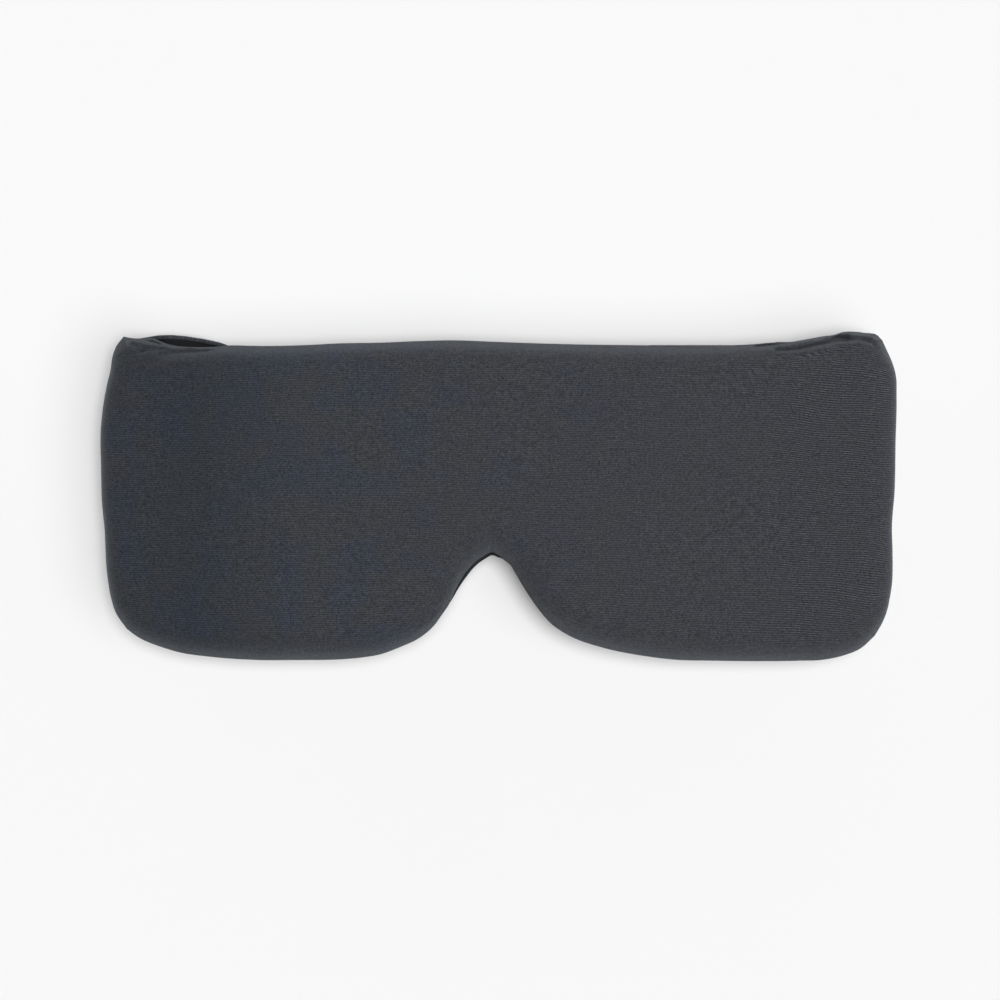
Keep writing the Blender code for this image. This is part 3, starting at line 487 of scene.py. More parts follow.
# Painted shade on the cover's colour, darkest near its -X end and lighter towards its +X end, for light
# falling from the +X side
PAINTED_SHADE_HALF_X = 120.0
PAINTED_SHADE_ALONG_X = [
    (0.02, (0.70, 0.72, 0.75)), (0.12, (0.61, 0.645, 0.69)), (0.25, (0.84, 0.855, 0.87)),
    (0.50, (0.92, 0.925, 0.93)), (0.80, (0.97, 0.97, 0.975)),
]  # fmt: skip


def cover_rows(tree, place, x, y):
    """Where a point lies across the cover's ribs, which follow the round edges and swing near the +X end."""
    facing = add(tree, "SeparateXYZ", {0: add(tree, "TexCoord").outputs["Normal"]}).outputs[1]
    facing = calc(tree, "MINIMUM", calc(tree, "MULTIPLY", facing, 1.7), 1.0)
    facing = calc(tree, "MAXIMUM", facing, -1.0)
    drop = calc(tree, "SUBTRACT", FRONT_Z, add(tree, "SeparateXYZ", {0: place}).outputs[2])
    y = calc(tree, "MULTIPLY_ADD", drop, facing, y)
    past = calc(tree, "MAXIMUM", calc(tree, "SUBTRACT", x, SWING_FROM_X), 0.0)
    return calc(tree, "MULTIPLY_ADD", calc(tree, "POWER", past, 2.0), SWING, y)


def knit(name, on_cover):
    """Fine horizontal ribs of a stretch knit, with a melange yarn and faint cool blotches.

    On the cover the colour carries painted shade, darkest near the -X end, the ribs are sharpest near the +X
    end, and the creases carry painted shade and their ridges painted highlight. The bands take the ribs along
    their uv.
    """
    coords = "Object" if on_cover else "UV"
    made, tree, shader, place = start(name, 0.92, coords=coords, sheen=0.15, sheen_tint=(0.82, 0.90, 1.0))
    shader.inputs["Specular IOR Level"].default_value = 0.22
    split = add(tree, "SeparateXYZ", {0: place})
    x = split.outputs[0]
    y = calc(tree, "MULTIPLY_ADD", noise_node(tree, place, 0.035, 1.0), 3.4, split.outputs[1])
    if on_cover:
        y = cover_rows(tree, place, x, y)
    rib = waves(tree, y, RIB_PERIOD)
    row = calc(tree, "FLOOR", calc(tree, "DIVIDE", y, RIB_PERIOD))
    loop = waves(tree, calc(tree, "MULTIPLY_ADD", row, LOOP_STEP, x), LOOP_PERIOD)
    yarn = noise_node(tree, place, 1.55, 3.0, 0.70)
    fuzz = noise_node(tree, place, 0.42, 3.0, 0.55)
    patch = noise_node(tree, place, 0.060, 2.0, 0.6)
    base = ramp(tree, yarn, [(0.28, tint(0.46, SLATE)), (0.72, tint(1.62, SLATE))])
    base = multiply(tree, base, ramp(tree, fuzz, [(0.30, (0.90, 0.91, 0.92)), (0.70, (1.10, 1.09, 1.08))]))
    cast = ramp(tree, patch, [(0.36, (0.91, 0.98, 1.13)), (0.52, grey(1.0)), (0.66, (1.01, 1.03, 0.99))])
    base = multiply(tree, base, cast, rescale(tree, x, -50.0, 50.0, 1.0, 0.15))
    sharper = SHARPER_RIB_TINT if on_cover else RIB_TINT
    strength = rescale(tree, x, SHARPER_FROM_X, SHARPER_TO_X, RIB_TINT, sharper)
    swell = calc(tree, "MULTIPLY", strength, calc(tree, "MULTIPLY_ADD", fuzz, 3.4, -0.7))
    groove = calc(tree, "MULTIPLY_ADD", calc(tree, "MULTIPLY_ADD", rib, 2.0, -1.0), swell, 1.0)
    groove = calc(tree, "MULTIPLY_ADD", calc(tree, "MULTIPLY_ADD", loop, 2.0, -1.0), LOOP_TINT, groove)
    if on_cover:
        # Painted shade: the cover's colour darker towards its -X end
        base = multiply(tree, base, ramp(tree, rescale(tree, x, -PAINTED_SHADE_HALF_X, PAINTED_SHADE_HALF_X), PAINTED_SHADE_ALONG_X))
        # Painted shade in the creases and painted highlight on their ridges, read from the cover's point
        # attribute
        painted_crease_light = add(tree, "Attribute", attribute_name="painted_crease_light").outputs["Fac"]
        groove = calc(tree, "MULTIPLY", groove, calc(tree, "ADD", painted_crease_light, 1.0))
    lay = add(tree, "CombineXYZ", {0: groove, 1: groove, 2: groove}).outputs[0]
    tree.links.new(multiply(tree, base, lay), shader.inputs["Base Color"])
    height = calc(tree, "MULTIPLY_ADD", loop, 0.25, rib)
    bump(tree, shader, calc(tree, "MULTIPLY_ADD", yarn, 0.9, height), 0.10)
    return made


def brushed(name, colour, coords="Object", sheen=0.22):
    """Short brushed pile of the lining."""
    made, tree, shader, place = start(name, 0.97, coords=coords, sheen=sheen, sheen_tint=(0.85, 0.90, 1.0))
    pile = noise_node(tree, place, 2.6, 4.0, 0.65)
    lay = noise_node(tree, place, 0.09, 3.0, 0.5, 0.6)
    base = ramp(tree, pile, [(0.3, tint(0.72, colour)), (0.72, tint(1.3, colour))])
    shade = ramp(tree, lay, [(0.35, (0.86, 0.87, 0.90)), (0.65, (1.14, 1.13, 1.10))])
    tree.links.new(multiply(tree, base, shade), shader.inputs["Base Color"])
    bump(tree, shader, calc(tree, "MULTIPLY_ADD", lay, 0.6, pile), 0.16)
    return made


def woven(name, colour, coords="Object", pitch=0.7, twill=0.5):
    """Woven tape: raised threads crossing at right angles, with a twill step."""
    made, tree, shader, place = start(name, 0.88, coords=coords, sheen=0.25)
    split = add(tree, "SeparateXYZ", {0: place})
    x, y = split.outputs[0], split.outputs[1]
    warp = waves(tree, calc(tree, "MULTIPLY_ADD", y, twill, x), pitch)
    weft = waves(tree, calc(tree, "MULTIPLY_ADD", x, -twill, y), pitch)
    over = calc(tree, "MULTIPLY", warp, weft)
    fibre = noise_node(tree, place, 3.0, 3.0, 0.6)
    base = ramp(tree, over, [(0.0, tint(0.55, colour)), (0.8, tint(1.25, colour))])
    speck = ramp(tree, fibre, [(0.3, grey(0.88)), (0.7, grey(1.12))])
    tree.links.new(multiply(tree, base, speck), shader.inputs["Base Color"])
    bump(tree, shader, calc(tree, "MULTIPLY_ADD", fibre, 0.3, over), 0.12)
    return made


def moulded(name, colour, roughness, grain=0.5, depth=0.02, metallic=0.0, coat=0.0, streak=None):
    """Moulded, cast or rolled finish: fine grain, faint colour variation and uneven gloss."""
    made, tree, shader, place = start(name, roughness, metallic)
    if coat:
        shader.inputs["Coat Weight"].default_value = coat
    if streak:
        place = add(tree, "VectorMath", {0: place, 1: streak}, operation="MULTIPLY").outputs[0]
    fine = noise_node(tree, place, 1 / grain, 3.0, 0.6)
    broad = noise_node(tree, place, 0.12, 2.0)
    base = ramp(tree, broad, [(0.3, tint(0.9, colour)), (0.7, tint(1.1, colour))])
    tree.links.new(base, shader.inputs["Base Color"])
    gloss = rescale(tree, fine, 0.3, 0.7, max(0.05, roughness - 0.1), min(1.0, roughness + 0.1))
    tree.links.new(gloss, shader.inputs["Roughness"])
    bump(tree, shader, fine, depth)
    return made


def cellular(name, colour, cell, depth):
    """Open-cell foam or fibre wadding."""
    made, tree, shader, place = start(name, 0.95)
    cells = add(tree, "TexVoronoi", {"Vector": place, "Scale": 1 / cell}).outputs[0]
    base = ramp(tree, cells, [(0.1, tint(0.45, colour)), (0.6, colour)])
    shade = ramp(tree, noise_node(tree, place, 0.3, 3.0), [(0.3, grey(0.9)), (0.7, grey(1.05))])
    tree.links.new(multiply(tree, base, shade), shader.inputs["Base Color"])
    bump(tree, shader, cells, depth)
    return made


def board_finish():
    """Green solder mask over copper tracks."""
    made, tree, shader, place = start("solder_mask", 0.35)
    shader.inputs["Coat Weight"].default_value = 0.4
    brick = add(tree, "TexBrick", {"Vector": place, "Scale": 0.45, "Mortar Size": 0.02, "Mortar Smooth": 0.2})
    brick.inputs["Color1"].default_value = (0.010, 0.105, 0.040, 1.0)
    brick.inputs["Color2"].default_value = (0.012, 0.125, 0.050, 1.0)
    brick.inputs["Mortar"].default_value = (0.060, 0.260, 0.080, 1.0)
    tree.links.new(brick.outputs[0], shader.inputs["Base Color"])
    bump(tree, shader, brick.outputs["Fac"], 0.03)
    return made


SLATE = (0.0420, 0.0441, 0.0504)
DARK = (0.0260, 0.0285, 0.0330)
KNIT = knit("slate_knit", on_cover=True)
KNIT_BAND = knit("slate_knit_band", on_cover=False)
# The bands' inner faces: a brushed backing whose dark colour is painted shade for the gap between a band's
# curled edge and the cover
BAND_INSIDE_PAINTED_SHADE = brushed("band_inside_painted_shade", tint(0.38, SLATE), coords="UV", sheen=0.05)
LINING = brushed("brushed_lining", DARK)
CUSHION = brushed("cushion_cover", tint(0.92, DARK))
BAFFLE = brushed("baffle_cloth", tint(0.55, DARK), sheen=0.1)
BINDING = woven("piping_binding", tint(0.72, SLATE), coords="UV", pitch=0.55, twill=0.9)
TAPE = woven("woven_tape", tint(0.8, SLATE), coords="UV")
THREAD = woven("sewing_thread", tint(1.08, SLATE), pitch=0.3, twill=1.0)
HOOK = moulded("hook_nylon", (0.030, 0.032, 0.036), 0.5, grain=0.4, depth=0.03)
LOOP = brushed("loop_pile", (0.034, 0.036, 0.041), sheen=0.6)
SILICONE = moulded("black_silicone", (0.018, 0.019, 0.022), 0.6, grain=0.25, depth=0.02)
PLASTIC = moulded("grey_abs", (0.10, 0.105, 0.115), 0.48, grain=0.3, depth=0.03)
CARRIER = moulded("natural_plastic", (0.55, 0.56, 0.56), 0.5, grain=0.8, depth=0.02)
LIGHT_PIPE = moulded("milky_light_pipe", (0.80, 0.82, 0.82), 0.25, grain=0.6, depth=0.005, coat=0.3)
EPOXY = moulded("black_epoxy", (0.02, 0.02, 0.021), 0.42, grain=0.15, depth=0.01)
POUCH = moulded("foil_pouch", (0.52, 0.53, 0.55), 0.3, grain=2.5, depth=0.05, metallic=0.85)
STEEL = moulded("rolled_steel", (0.58, 0.58, 0.60), 0.28, depth=0.01, metallic=1.0, streak=(0.1, 1, 1))
SCREW = moulded("plated_screw", (0.50, 0.50, 0.52), 0.32, grain=0.2, depth=0.01, metallic=1.0)
NICKEL = moulded("nickel_shell", (0.62, 0.60, 0.56), 0.25, grain=0.3, depth=0.005, metallic=1.0)
TUNGSTEN = moulded("tungsten_alloy", (0.27, 0.27, 0.29), 0.42, grain=0.2, depth=0.02, metallic=1.0)
WIRE = moulded("wire_insulation", (0.16, 0.014, 0.014), 0.45, grain=0.6, depth=0.01)
FOAM = cellular("open_cell_foam", (0.30, 0.30, 0.32), 0.7, 0.2)
WADDING = cellular("fibre_wadding", (0.72, 0.72, 0.70), 1.4, 0.3)
BOARD = board_finish()

# Finish of each CAD node that stays, by how its name begins
CAD_FINISHES = {
    "rear_foam": FOAM, "front_padding": WADDING, "carrier_sheet": CARRIER, "control_panel": SILICONE,
    "power_button": SILICONE, "status_light_pipe": LIGHT_PIPE, "usb_c_port": NICKEL, "circuit_board": BOARD,
    "controller_chip": EPOXY, "charge_inductor": EPOXY, "push_switch": EPOXY, "switch_plunger": EPOXY,
    "battery_cell": POUCH, "battery_lead": WIRE, "pod_case": PLASTIC, "case_screw": SCREW,
    "motor_boot": SILICONE, "motor_case": STEEL, "motor_plate": STEEL, "motor_rotor": TUNGSTEN,
    "motor_lead": WIRE,
}  # fmt: skip


def finish_cad_nodes():
    for name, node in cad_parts.items():
        found = [finish for beginning, finish in CAD_FINISHES.items() if name.startswith(beginning)]
        if not found:
            continue
        if not node.material_slots:
            node.data.materials.append(found[0])
        for place in node.material_slots:
            place.material = found[0]


# ---- the pad

def pad_mesh(inset, height, rings, edge_steps, across, up):
    """Points and quads of a grid over the pad. rings continue it past its edge, each (inset, z)."""
    us, vs = graded(PAD_SIZE[0], edge_steps, across), graded(PAD_SIZE[1], edge_steps, up)
    extra = len(rings)
    columns, rows = len(us) + 2 * extra, len(vs) + 2 * extra
    j, i = np.divmod(np.arange(columns * rows), columns)
    right, up_end = columns - 1 - extra, rows - 1 - extra
    ring = np.maximum.reduce([extra - i, i - right, extra - j, j - up_end, 0 * i])
    u = us[np.clip(i - extra, 0, len(us) - 1)]
    v = vs[np.clip(j - extra, 0, len(vs) - 1)]
    xy = pad_point(u, v, inset)
    z = height(xy, line_distance(xy, outline(inset)))
    for k, (ring_inset, ring_z) in enumerate(rings, start=1):
        chosen = ring == k
        xy[chosen] = pad_point(u[chosen], v[chosen], ring_inset)
        z[chosen] = ring_z
    return np.column_stack([xy, z]), grid_faces(columns, rows)


# Creases in the cover: a line, how high it stands (or how deep, if negative), and how wide it is
FOLDS = [
    ([(-108.6, 46.0), (-105.9, 45.4), (-101.8, 44.8), (-98.4, 44.2)], 2.2, 0.5),
    ([(-104.6, 46.6), (-102.9, 46.0), (-100.7, 45.3), (-98.2, 44.9)], -2.6, 0.45),
    ([(-103.7, 47.1), (-101.1, 46.0), (-98.8, 44.8), (-96.0, 44.0)], 2.4, 0.42),
    ([(-106.3, 43.3), (-104.1, 43.6), (-101.0, 43.9), (-98.0, 43.7)], -1.7, 0.5),
    ([(-107.0, 44.2), (-103.0, 44.4), (-100.0, 44.4)], 0.7, 0.4),
    ([(-100.5, 42.3), (-96.6, 42.9), (-92.4, 43.2), (-87.0, 43.4)], -1.5, 0.5),
    ([(-99.9, 43.2), (-95.1, 43.9), (-89.1, 44.0), (-85.0, 44.3)], 1.6, 0.5),
    ([(-101.0, 41.2), (-96.0, 41.8), (-91.0, 42.5)], -0.35, 0.8),
    ([(-115.0, 40.5), (-111.0, 42.0), (-107.0, 42.4)], -0.35, 1.0),
    ([(76.8, 44.8), (80.2, 45.1), (84.0, 45.5), (87.6, 45.8)], -3.0, 0.45),
    ([(82.8, 43.6), (87.7, 43.9), (91.8, 44.7), (94.8, 45.4), (97.8, 45.9), (100.0, 46.6), (103.6, 46.7)],
     -3.0, 0.42),
    ([(84.0, 44.7), (88.0, 45.2), (92.5, 45.8), (96.0, 46.8), (99.0, 47.4)], 3.2, 0.5),
    ([(100.0, 47.0), (101.9, 47.3), (104.0, 47.1)], -4.0, 0.8),
    ([(101.0, 48.6), (103.8, 48.2), (107.0, 47.9), (110.6, 47.5), (112.6, 46.2)], 3.0, 0.6),
    ([(103.8, 46.4), (107.5, 46.7), (110.5, 45.8), (112.6, 44.6)], -1.2, 0.42),
    ([(101.0, 45.0), (104.0, 45.5), (107.5, 45.6), (110.5, 44.7)], 0.8, 0.6),
    ([(79.6, 43.6), (83.0, 43.0), (86.5, 42.2)], 0.5, 0.5),
    ([(88.0, 42.6), (93.0, 43.4), (98.0, 44.6)], 0.5, 0.7),
    ([(90.0, 41.0), (96.0, 42.0), (101.0, 42.6), (107.0, 42.2)], -0.4, 0.8),
    ([(-17.3, -34.8), (-20.0, -37.8), (-24.5, -40.8)], 0.6, 0.9),
    ([(-2.0, -12.5), (-2.1, -14.5), (-2.1, -17.0)], -0.9, 0.6),
    ([(-0.7, -13.0), (-0.6, -15.0), (-0.4, -17.6)], 0.5, 0.6),
    ([(10.5, -30.0), (14.0, -34.0), (19.0, -38.0)], 0.3, 1.2),
]  # fmt: skip
FOLD_LIMIT = 1.7


def fold_slack(points):
    """How far the creases would lift each point, before the cloth limits it."""
    return sum(
        high * bell(line_distance(points, smooth_curve(line, 24), closed=False), wide)
        for line, high, wide in FOLDS
    )


def cover_height(points, depth):
    """Front of the padded cover: a round edge, a nearly level middle, and slack in the cloth."""
    level = WIDEST_Z + (FRONT_Z - WIDEST_Z) * rounding(depth, ROUND_REACH, ROUND_POWER)
    inner = ease(depth / 9.0)
    level += inner * (0.30 * soft_noise(points, 34.0, 1.7) + 0.12 * soft_noise(points, 13.0, 5.1))
    level += ease(depth / 3.0) * 0.10 * soft_noise(points, 6.0, 8.3)
    x, y = points[:, 0], points[:, 1]
    over_nose = bell(x + 0.5, 5.5) * ease((4.0 - y) / 20.0) * ease(depth / 4.0)
    level -= 0.35 * over_nose
    return level + FOLD_LIMIT * np.tanh(fold_slack(points) / FOLD_LIMIT) * ease((depth - 0.1) / 1.1)


def painted_crease_shade_highlight(points):
    """Painted shade (negative) in the creases of the cover's front and painted highlight (positive) on their
    ridges, as a share of the yarn's colour.
    """
    slack = fold_slack(points[:, :2]) * ease((points[:, 2] - 19.0) / 2.0)
    return np.where(slack < 0, -0.72 * ease((-slack - 0.7) / 1.8), 0.26 * np.tanh(slack / 1.6))


# Distances from the edge of the first grid lines of the cover and of the lining
COVER_STEPS = (
    0.0, 0.2, 0.45, 0.75, 1.05, 1.35, 1.65, 1.95, 2.25, 2.6, 3.0, 3.45, 4.0, 4.7, 5.6, 6.7, 8.1, 9.8,
)  # fmt: skip
LINING_STEPS = (0.0, 0.5, 1.1, 1.9, 3.0, 4.4, 6.2, 8.5)

# The cover's side from its widest line to the seam, each (inset, z)
SKIRT = [
    (0.03, 19.2), (0.14, 18.4), (0.33, 17.6), (0.60, 16.8), (0.95, 16.1), (1.35, 15.5), (1.85, 15.0),
    (2.4, 14.75),
]  # fmt: skip

# The control panel's opening in the cover's forehead edge, in x and z, and what it is cut through in y
PANEL_LOW, PANEL_HIGH, PANEL_CORNER = (44.6, 15.5), (83.4, 23.1), 1.4
PANEL_CUT_Y = (41.2, 50.0)
WELT_RADIUS, WELT_HIGHEST_Y = 0.42, 44.95


def knit_cover():
    points, faces = pad_mesh(0.0, cover_height, SKIRT, COVER_STEPS, 290, 62)
    cover = make_object("knit_cover", points, faces, KNIT)
    # Painted shade in the creases and painted highlight on their ridges, kept on the points for the knit's
    # colour
    shade = painted_crease_shade_highlight(points).astype(np.float32)
    cover.data.attributes.new("painted_crease_light", "FLOAT", "POINT").data.foreach_set("value", shade)
    edit_mesh(cover, merge_close)
    shell(cover, COVER_THICK)
    rim = round_rectangle(PANEL_LOW, PANEL_HIGH, PANEL_CORNER)
    bar = [(x, y, z) for y in PANEL_CUT_Y for x, z in rim]
    opening = make_object("opening", bar, stack_faces(2, len(rim)), KNIT)
    edit_mesh(opening, face_outwards)
    cut = cover.modifiers.new("Panel opening", "BOOLEAN")
    cut.solver = "EXACT"
    cut.object = opening
    cut.use_self = True
    apply_modifiers(cover)
    bpy.data.objects.remove(opening)
    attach(cover, "mask")
    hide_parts("front_cover")
    panel_welt(rim)


def panel_welt(rim):
    """Bound edge of the panel's opening, laid on the cover's side."""
    insets, heights = zip(*reversed(SKIRT))
    insets, heights = (*insets, 0.0, 0.02), (*heights, 20.0, 24.0)
    top = EDGES[2]
    welt = []
    for x, z in rim:
        y = np.interp(x, top[:, 0], top[:, 1]) - np.interp(z, heights, insets)
        welt.append((x, min(y, WELT_HIGHEST_Y) - 0.25, z))
    ring = tube("panel_welt", even_loop(np.array(welt), 96), WELT_RADIUS, BINDING)
    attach(ring, "mask")


def eye_ellipse(points, margin=0.0):
    """0 at the middle of the nearer eye cavity, 1 on its rim moved out by margin."""
    wide, high = CAVITY_HALF[0] + margin, CAVITY_HALF[1] + margin
    return np.hypot((np.abs(points[:, 0]) - EYE_X) / wide, (points[:, 1] - EYE_Y) / high)


CAVITY_DEEP, ROLL_DEEP = 7.0, 10.3


def lining_height(points, depth):
    """Face side: flat, with two eye cavities and a soft roll along the cheeks and the nose."""
    rim = SEAM_Z - 0.3
    flat = rim - (rim - FACE_Z) * rounding(depth, 8.0, 2.2)
    cavity = CAVITY_DEEP * ease((1 - eye_ellipse(points)) / 0.55)
    roll = bell(depth - 10.0, 7.5) * rounding(depth, 5.0, 2.0)
    lower = ease((-3.0 - points[:, 1]) / 22.0)
    beside_eye = ease((eye_ellipse(points, CUSHION_WIDTH) - 1.08) / 0.5)
    level = flat + cavity - ROLL_DEEP * roll * lower * beside_eye
    level += ease(depth / 5.0) * (0.16 * soft_noise(points, 11.0, 3.3) + 0.08 * soft_noise(points, 4.5, 6.6))
    seam = bell(np.abs(points[:, 0]), 0.7) * ease((points[:, 1] + 8.0) / 8.0)
    return level + 0.7 * seam * ease(depth / 2.0)


def face_side():
    points, faces = pad_mesh(LINING_INSET, lining_height, [], LINING_STEPS, 170, 70)
    lining = make_object("brushed_face_lining", points, [quad[::-1] for quad in faces], LINING)
    shell(lining, LINING_THICK)
    apply_modifiers(lining)
    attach(lining, "mask")
    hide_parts("face_lining")

    line = even_loop(outline(PIPING_INSET), 520)
    path = np.column_stack([line, np.full(len(line), PIPING_Z)])
    cord = tube("bound_piping", path, PIPING_RADIUS, BINDING)
    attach(cord, "mask")
    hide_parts("seam_piping")

    line = outline(LINING_INSET + 1.6)
    line = evenly_spaced(np.concatenate([line, line[:1]]), 600)
    depth = line_distance(line, outline(LINING_INSET))
    path = np.column_stack([line, lining_height(line, depth)])
    row = stitches("lining_edge_stitching", [(path, (0, 0, -1))])
    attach(row, "mask")


# How far the nose flap reaches past the cover's edge, each (x, reach)
FLAP_REACH = [
    (-26.0, -1.6), (-17.0, -1.0), (-14.6, 0.0), (-13.0, 0.5), (-10.6, 1.0), (-6.6, 0.95), (-2.1, 1.1),
    (0.2, 0.7), (2.2, -0.3), (5.0, -1.2), (26.0, -1.6),
]  # fmt: skip
FLAP_HALF, FLAP_ROOT, FLAP_Z, FLAP_THICK = 26.0, 3.3, SEAM_Z - 1.5, 0.7


def nose_flap():
    """Thin baffle behind the notch. It shows past the cover at the top of the notch and on its left wall."""
    bottom = EDGES[0]
    edge = evenly_spaced(bottom[np.abs(bottom[:, 0]) < FLAP_HALF], 120)
    way = np.gradient(edge, axis=0)
    outward = np.stack([way[:, 1], -way[:, 0]], axis=1)
    outward /= np.linalg.norm(outward, axis=1)[:, None]
    reach = np.interp(edge[:, 0], *zip(*FLAP_REACH))
    across = np.linspace(0, 1, 7)
    points = []
    for share in across:
        shift = reach * (1 - share) - FLAP_ROOT * share
        level = FLAP_Z + 0.1 * np.sin(edge[:, 0] * 0.9) * (1 - share)
        points.append(np.column_stack([edge + shift[:, None] * outward, level]))
    flap = make_object("nose_flap", np.concatenate(points), grid_faces(len(edge), len(across)), BAFFLE)
    shell(flap, FLAP_THICK, 0.0)
    apply_modifiers(flap)
    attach(flap, "mask")
    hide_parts("nose_baffle")


def eye_cushion(name, side):
    """Padded ring round an eye cavity, its cover gathered in small pleats at the seam."""
    along, around = 220, 20
    middle = (CAVITY_HALF[0] + CUSHION_WIDTH / 2, CAVITY_HALF[1] + CUSHION_WIDTH / 2)
    turn, roll = np.meshgrid(*(np.linspace(0, 2 * math.pi, n, endpoint=False) for n in (along, around)))
    outward = np.stack([np.cos(turn) / middle[0], np.sin(turn) / middle[1]], axis=-1)
    outward /= np.linalg.norm(outward, axis=-1)[..., None]
    near_seam = 0.5 - 0.5 * np.cos(roll)
    pleats = np.sin(turn * 41 + 1.3 * np.sin(turn * 3)) + 0.6 * np.sin(turn * 67 + 2.0)
    swell = 1.0 + 0.035 * pleats * near_seam + 0.03 * np.sin(5 * turn + 0.7)
    reach = np.cos(roll) * (CUSHION_WIDTH / 2) * swell
    x = side * EYE_X + middle[0] * np.cos(turn) + outward[..., 0] * reach
    y = EYE_Y + middle[1] * np.sin(turn) + outward[..., 1] * reach
    z = CUSHION_Z - CUSHION_HALF_HIGH * np.sin(roll) * swell
    points = np.stack([x, y, z], axis=-1).reshape(-1, 3)
    ring = make_object(name, points, tube_faces(around, along, True), CUSHION)
    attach(ring, "mask")
    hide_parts(name.replace("_ring", "_cushion"))

    angle = np.linspace(0, 2 * math.pi, 300)
    out = CUSHION_WIDTH / 2 + 0.2
    seam = np.column_stack([
        side * EYE_X + (middle[0] + out) * np.cos(angle), EYE_Y + (middle[1] + out) * np.sin(angle)
    ])
    level = np.minimum(lining_height(seam, line_distance(seam, outline(LINING_INSET))), FACE_Z)
    row = stitches(name + "_stitching", [(np.column_stack([seam, level]), (0, 0, -1))], pitch=2.6)
    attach(row, "mask")


# ---- head bands

# A band's line as (distance from the middle of the mask, z): from the side seam round the fold to its tip
BAND_ROOT = [
    (116.6, 12.4), (116.3, 10.4), (115.7, 8.0), (115.0, 5.9), (114.5, 4.2), (114.1, 3.0),
    (113.2, 2.0), (111.4, 1.4), (108.4, 1.1), (104.0, 1.1),
]  # fmt: skip
BAND_LINES = {
    1: [*BAND_ROOT, (90.0, 1.1), (60.0, 1.1), (20.0, 1.1), (-20.0, 1.1), (-36.0, 1.1), (RIGHT_TIP_X, 1.1)],
    -1: [*BAND_ROOT, (90.0, 1.1), (78.0, 1.15), (72.0, 2.0), (67.0, 3.35), (62.0, 4.7), (56.0, 5.5),
         (45.0, 5.6), (25.0, 5.6), (8.0, 5.6), (-LEFT_TIP_X, 5.6)],
}  # fmt: skip

# Each band's upper edge as (distance from the middle of the mask, y, rise of the curled edge above the band)
BAND_TOPS = {
    1: [(-42.0, 41.0, 0.0), (-20.0, 41.2, 0.0), (10.0, 42.8, 0.0), (42.0, 45.6, 0.0), (62.0, 46.1, 0.0),
        (77.0, 46.2, 1.0), (87.0, 46.6, 3.0), (92.0, 47.0, 5.0), (99.0, 47.6, 6.0), (105.0, 48.4, 5.0),
        (111.0, 48.0, 3.6), (113.6, 47.2, 2.8), (115.6, 46.0, 2.2)],
    -1: [(2.5, 41.0, 0.0), (30.0, 42.6, 0.0), (60.0, 44.0, 0.0), (75.0, 44.8, 0.5), (81.0, 45.9, 2.5),
         (85.0, 47.2, 5.5), (90.0, 48.2, 8.5), (95.0, 48.9, 10.0), (99.0, 49.2, 10.0), (103.0, 49.2, 8.5),
         (109.0, 48.5, 5.0), (112.0, 47.8, 3.4), (115.0, 45.6, 2.2)],
}  # fmt: skip
BAND_STATIONS, BAND_SECTION = 240, 60
BAND_LOWEST_Z, THREAD_LOWEST_Z = 0.05, 0.38
SEAM_TOP_Y, WIDEST_X = 43.0, 119.0


def band_surface(side, shares):
    """A band's line, and its middle surface with normals: one point for each station and share across."""
    profile = smooth_curve(BAND_LINES[side], BAND_STATIONS)
    tip = profile[-1, 0]
    to_seam = ease((profile[:, 1] - 1.6) / 10.0) * (profile[:, 0] > 110.0)
    knots, tops, curls = zip(*BAND_TOPS[side])
    top = np.interp(profile[:, 0], knots, tops) * (1 - to_seam) + SEAM_TOP_Y * to_seam
    curl = np.interp(profile[:, 0], knots, curls) * (1 - to_seam) ** 0.8
    low = -9.0 + 8.0 * ease((106.5 - profile[:, 0]) / (106.5 - tip - 25.0)) + 4.0 * to_seam
    near_tip = np.clip((profile[:, 0] - tip) / 14.0, 0, 1)
    pinch = 0.70 + 0.30 * np.sqrt(1 - (1 - near_tip) ** 2)
    edge = EDGES[1] if side > 0 else EDGES[3]
    steps = np.arange(BAND_SECTION)
    place = np.interp((shares + 1) / 2, np.linspace(0, 1, BAND_SECTION), steps)
    middle = np.zeros((BAND_STATIONS, len(shares), 3))
    for k, (x, z) in enumerate(profile):
        half = (top[k] - low[k]) / 2 * pinch[k]
        centre = (top[k] + low[k]) / 2
        bottom, upper, rise = centre - half, centre + half, curl[k]
        turn = min(max(rise, 0.8), 3.0) / 3.0
        line = [(bottom, 0.0), (upper - 5.5 * turn - 3.0, 0.0), (upper - 3.2 * turn, 0.06 * rise),
                (upper - 1.5 * turn, 0.35 * rise), (upper - turn, max(rise, 0.01))]
        y, lift = look_up(place, steps, smooth_curve(line, BAND_SECTION)).T
        shift = to_seam[k] * (np.interp(y, edge[:, 1], np.abs(edge[:, 0])) - WIDEST_X)
        middle[k] = np.column_stack([side * (x + shift), y, z + lift])
    run, across = np.gradient(middle, axis=0), np.gradient(middle, axis=1)
    normal = side * np.cross(run, across)
    normal /= np.linalg.norm(normal, axis=2)[..., None]
    return profile, middle, -normal


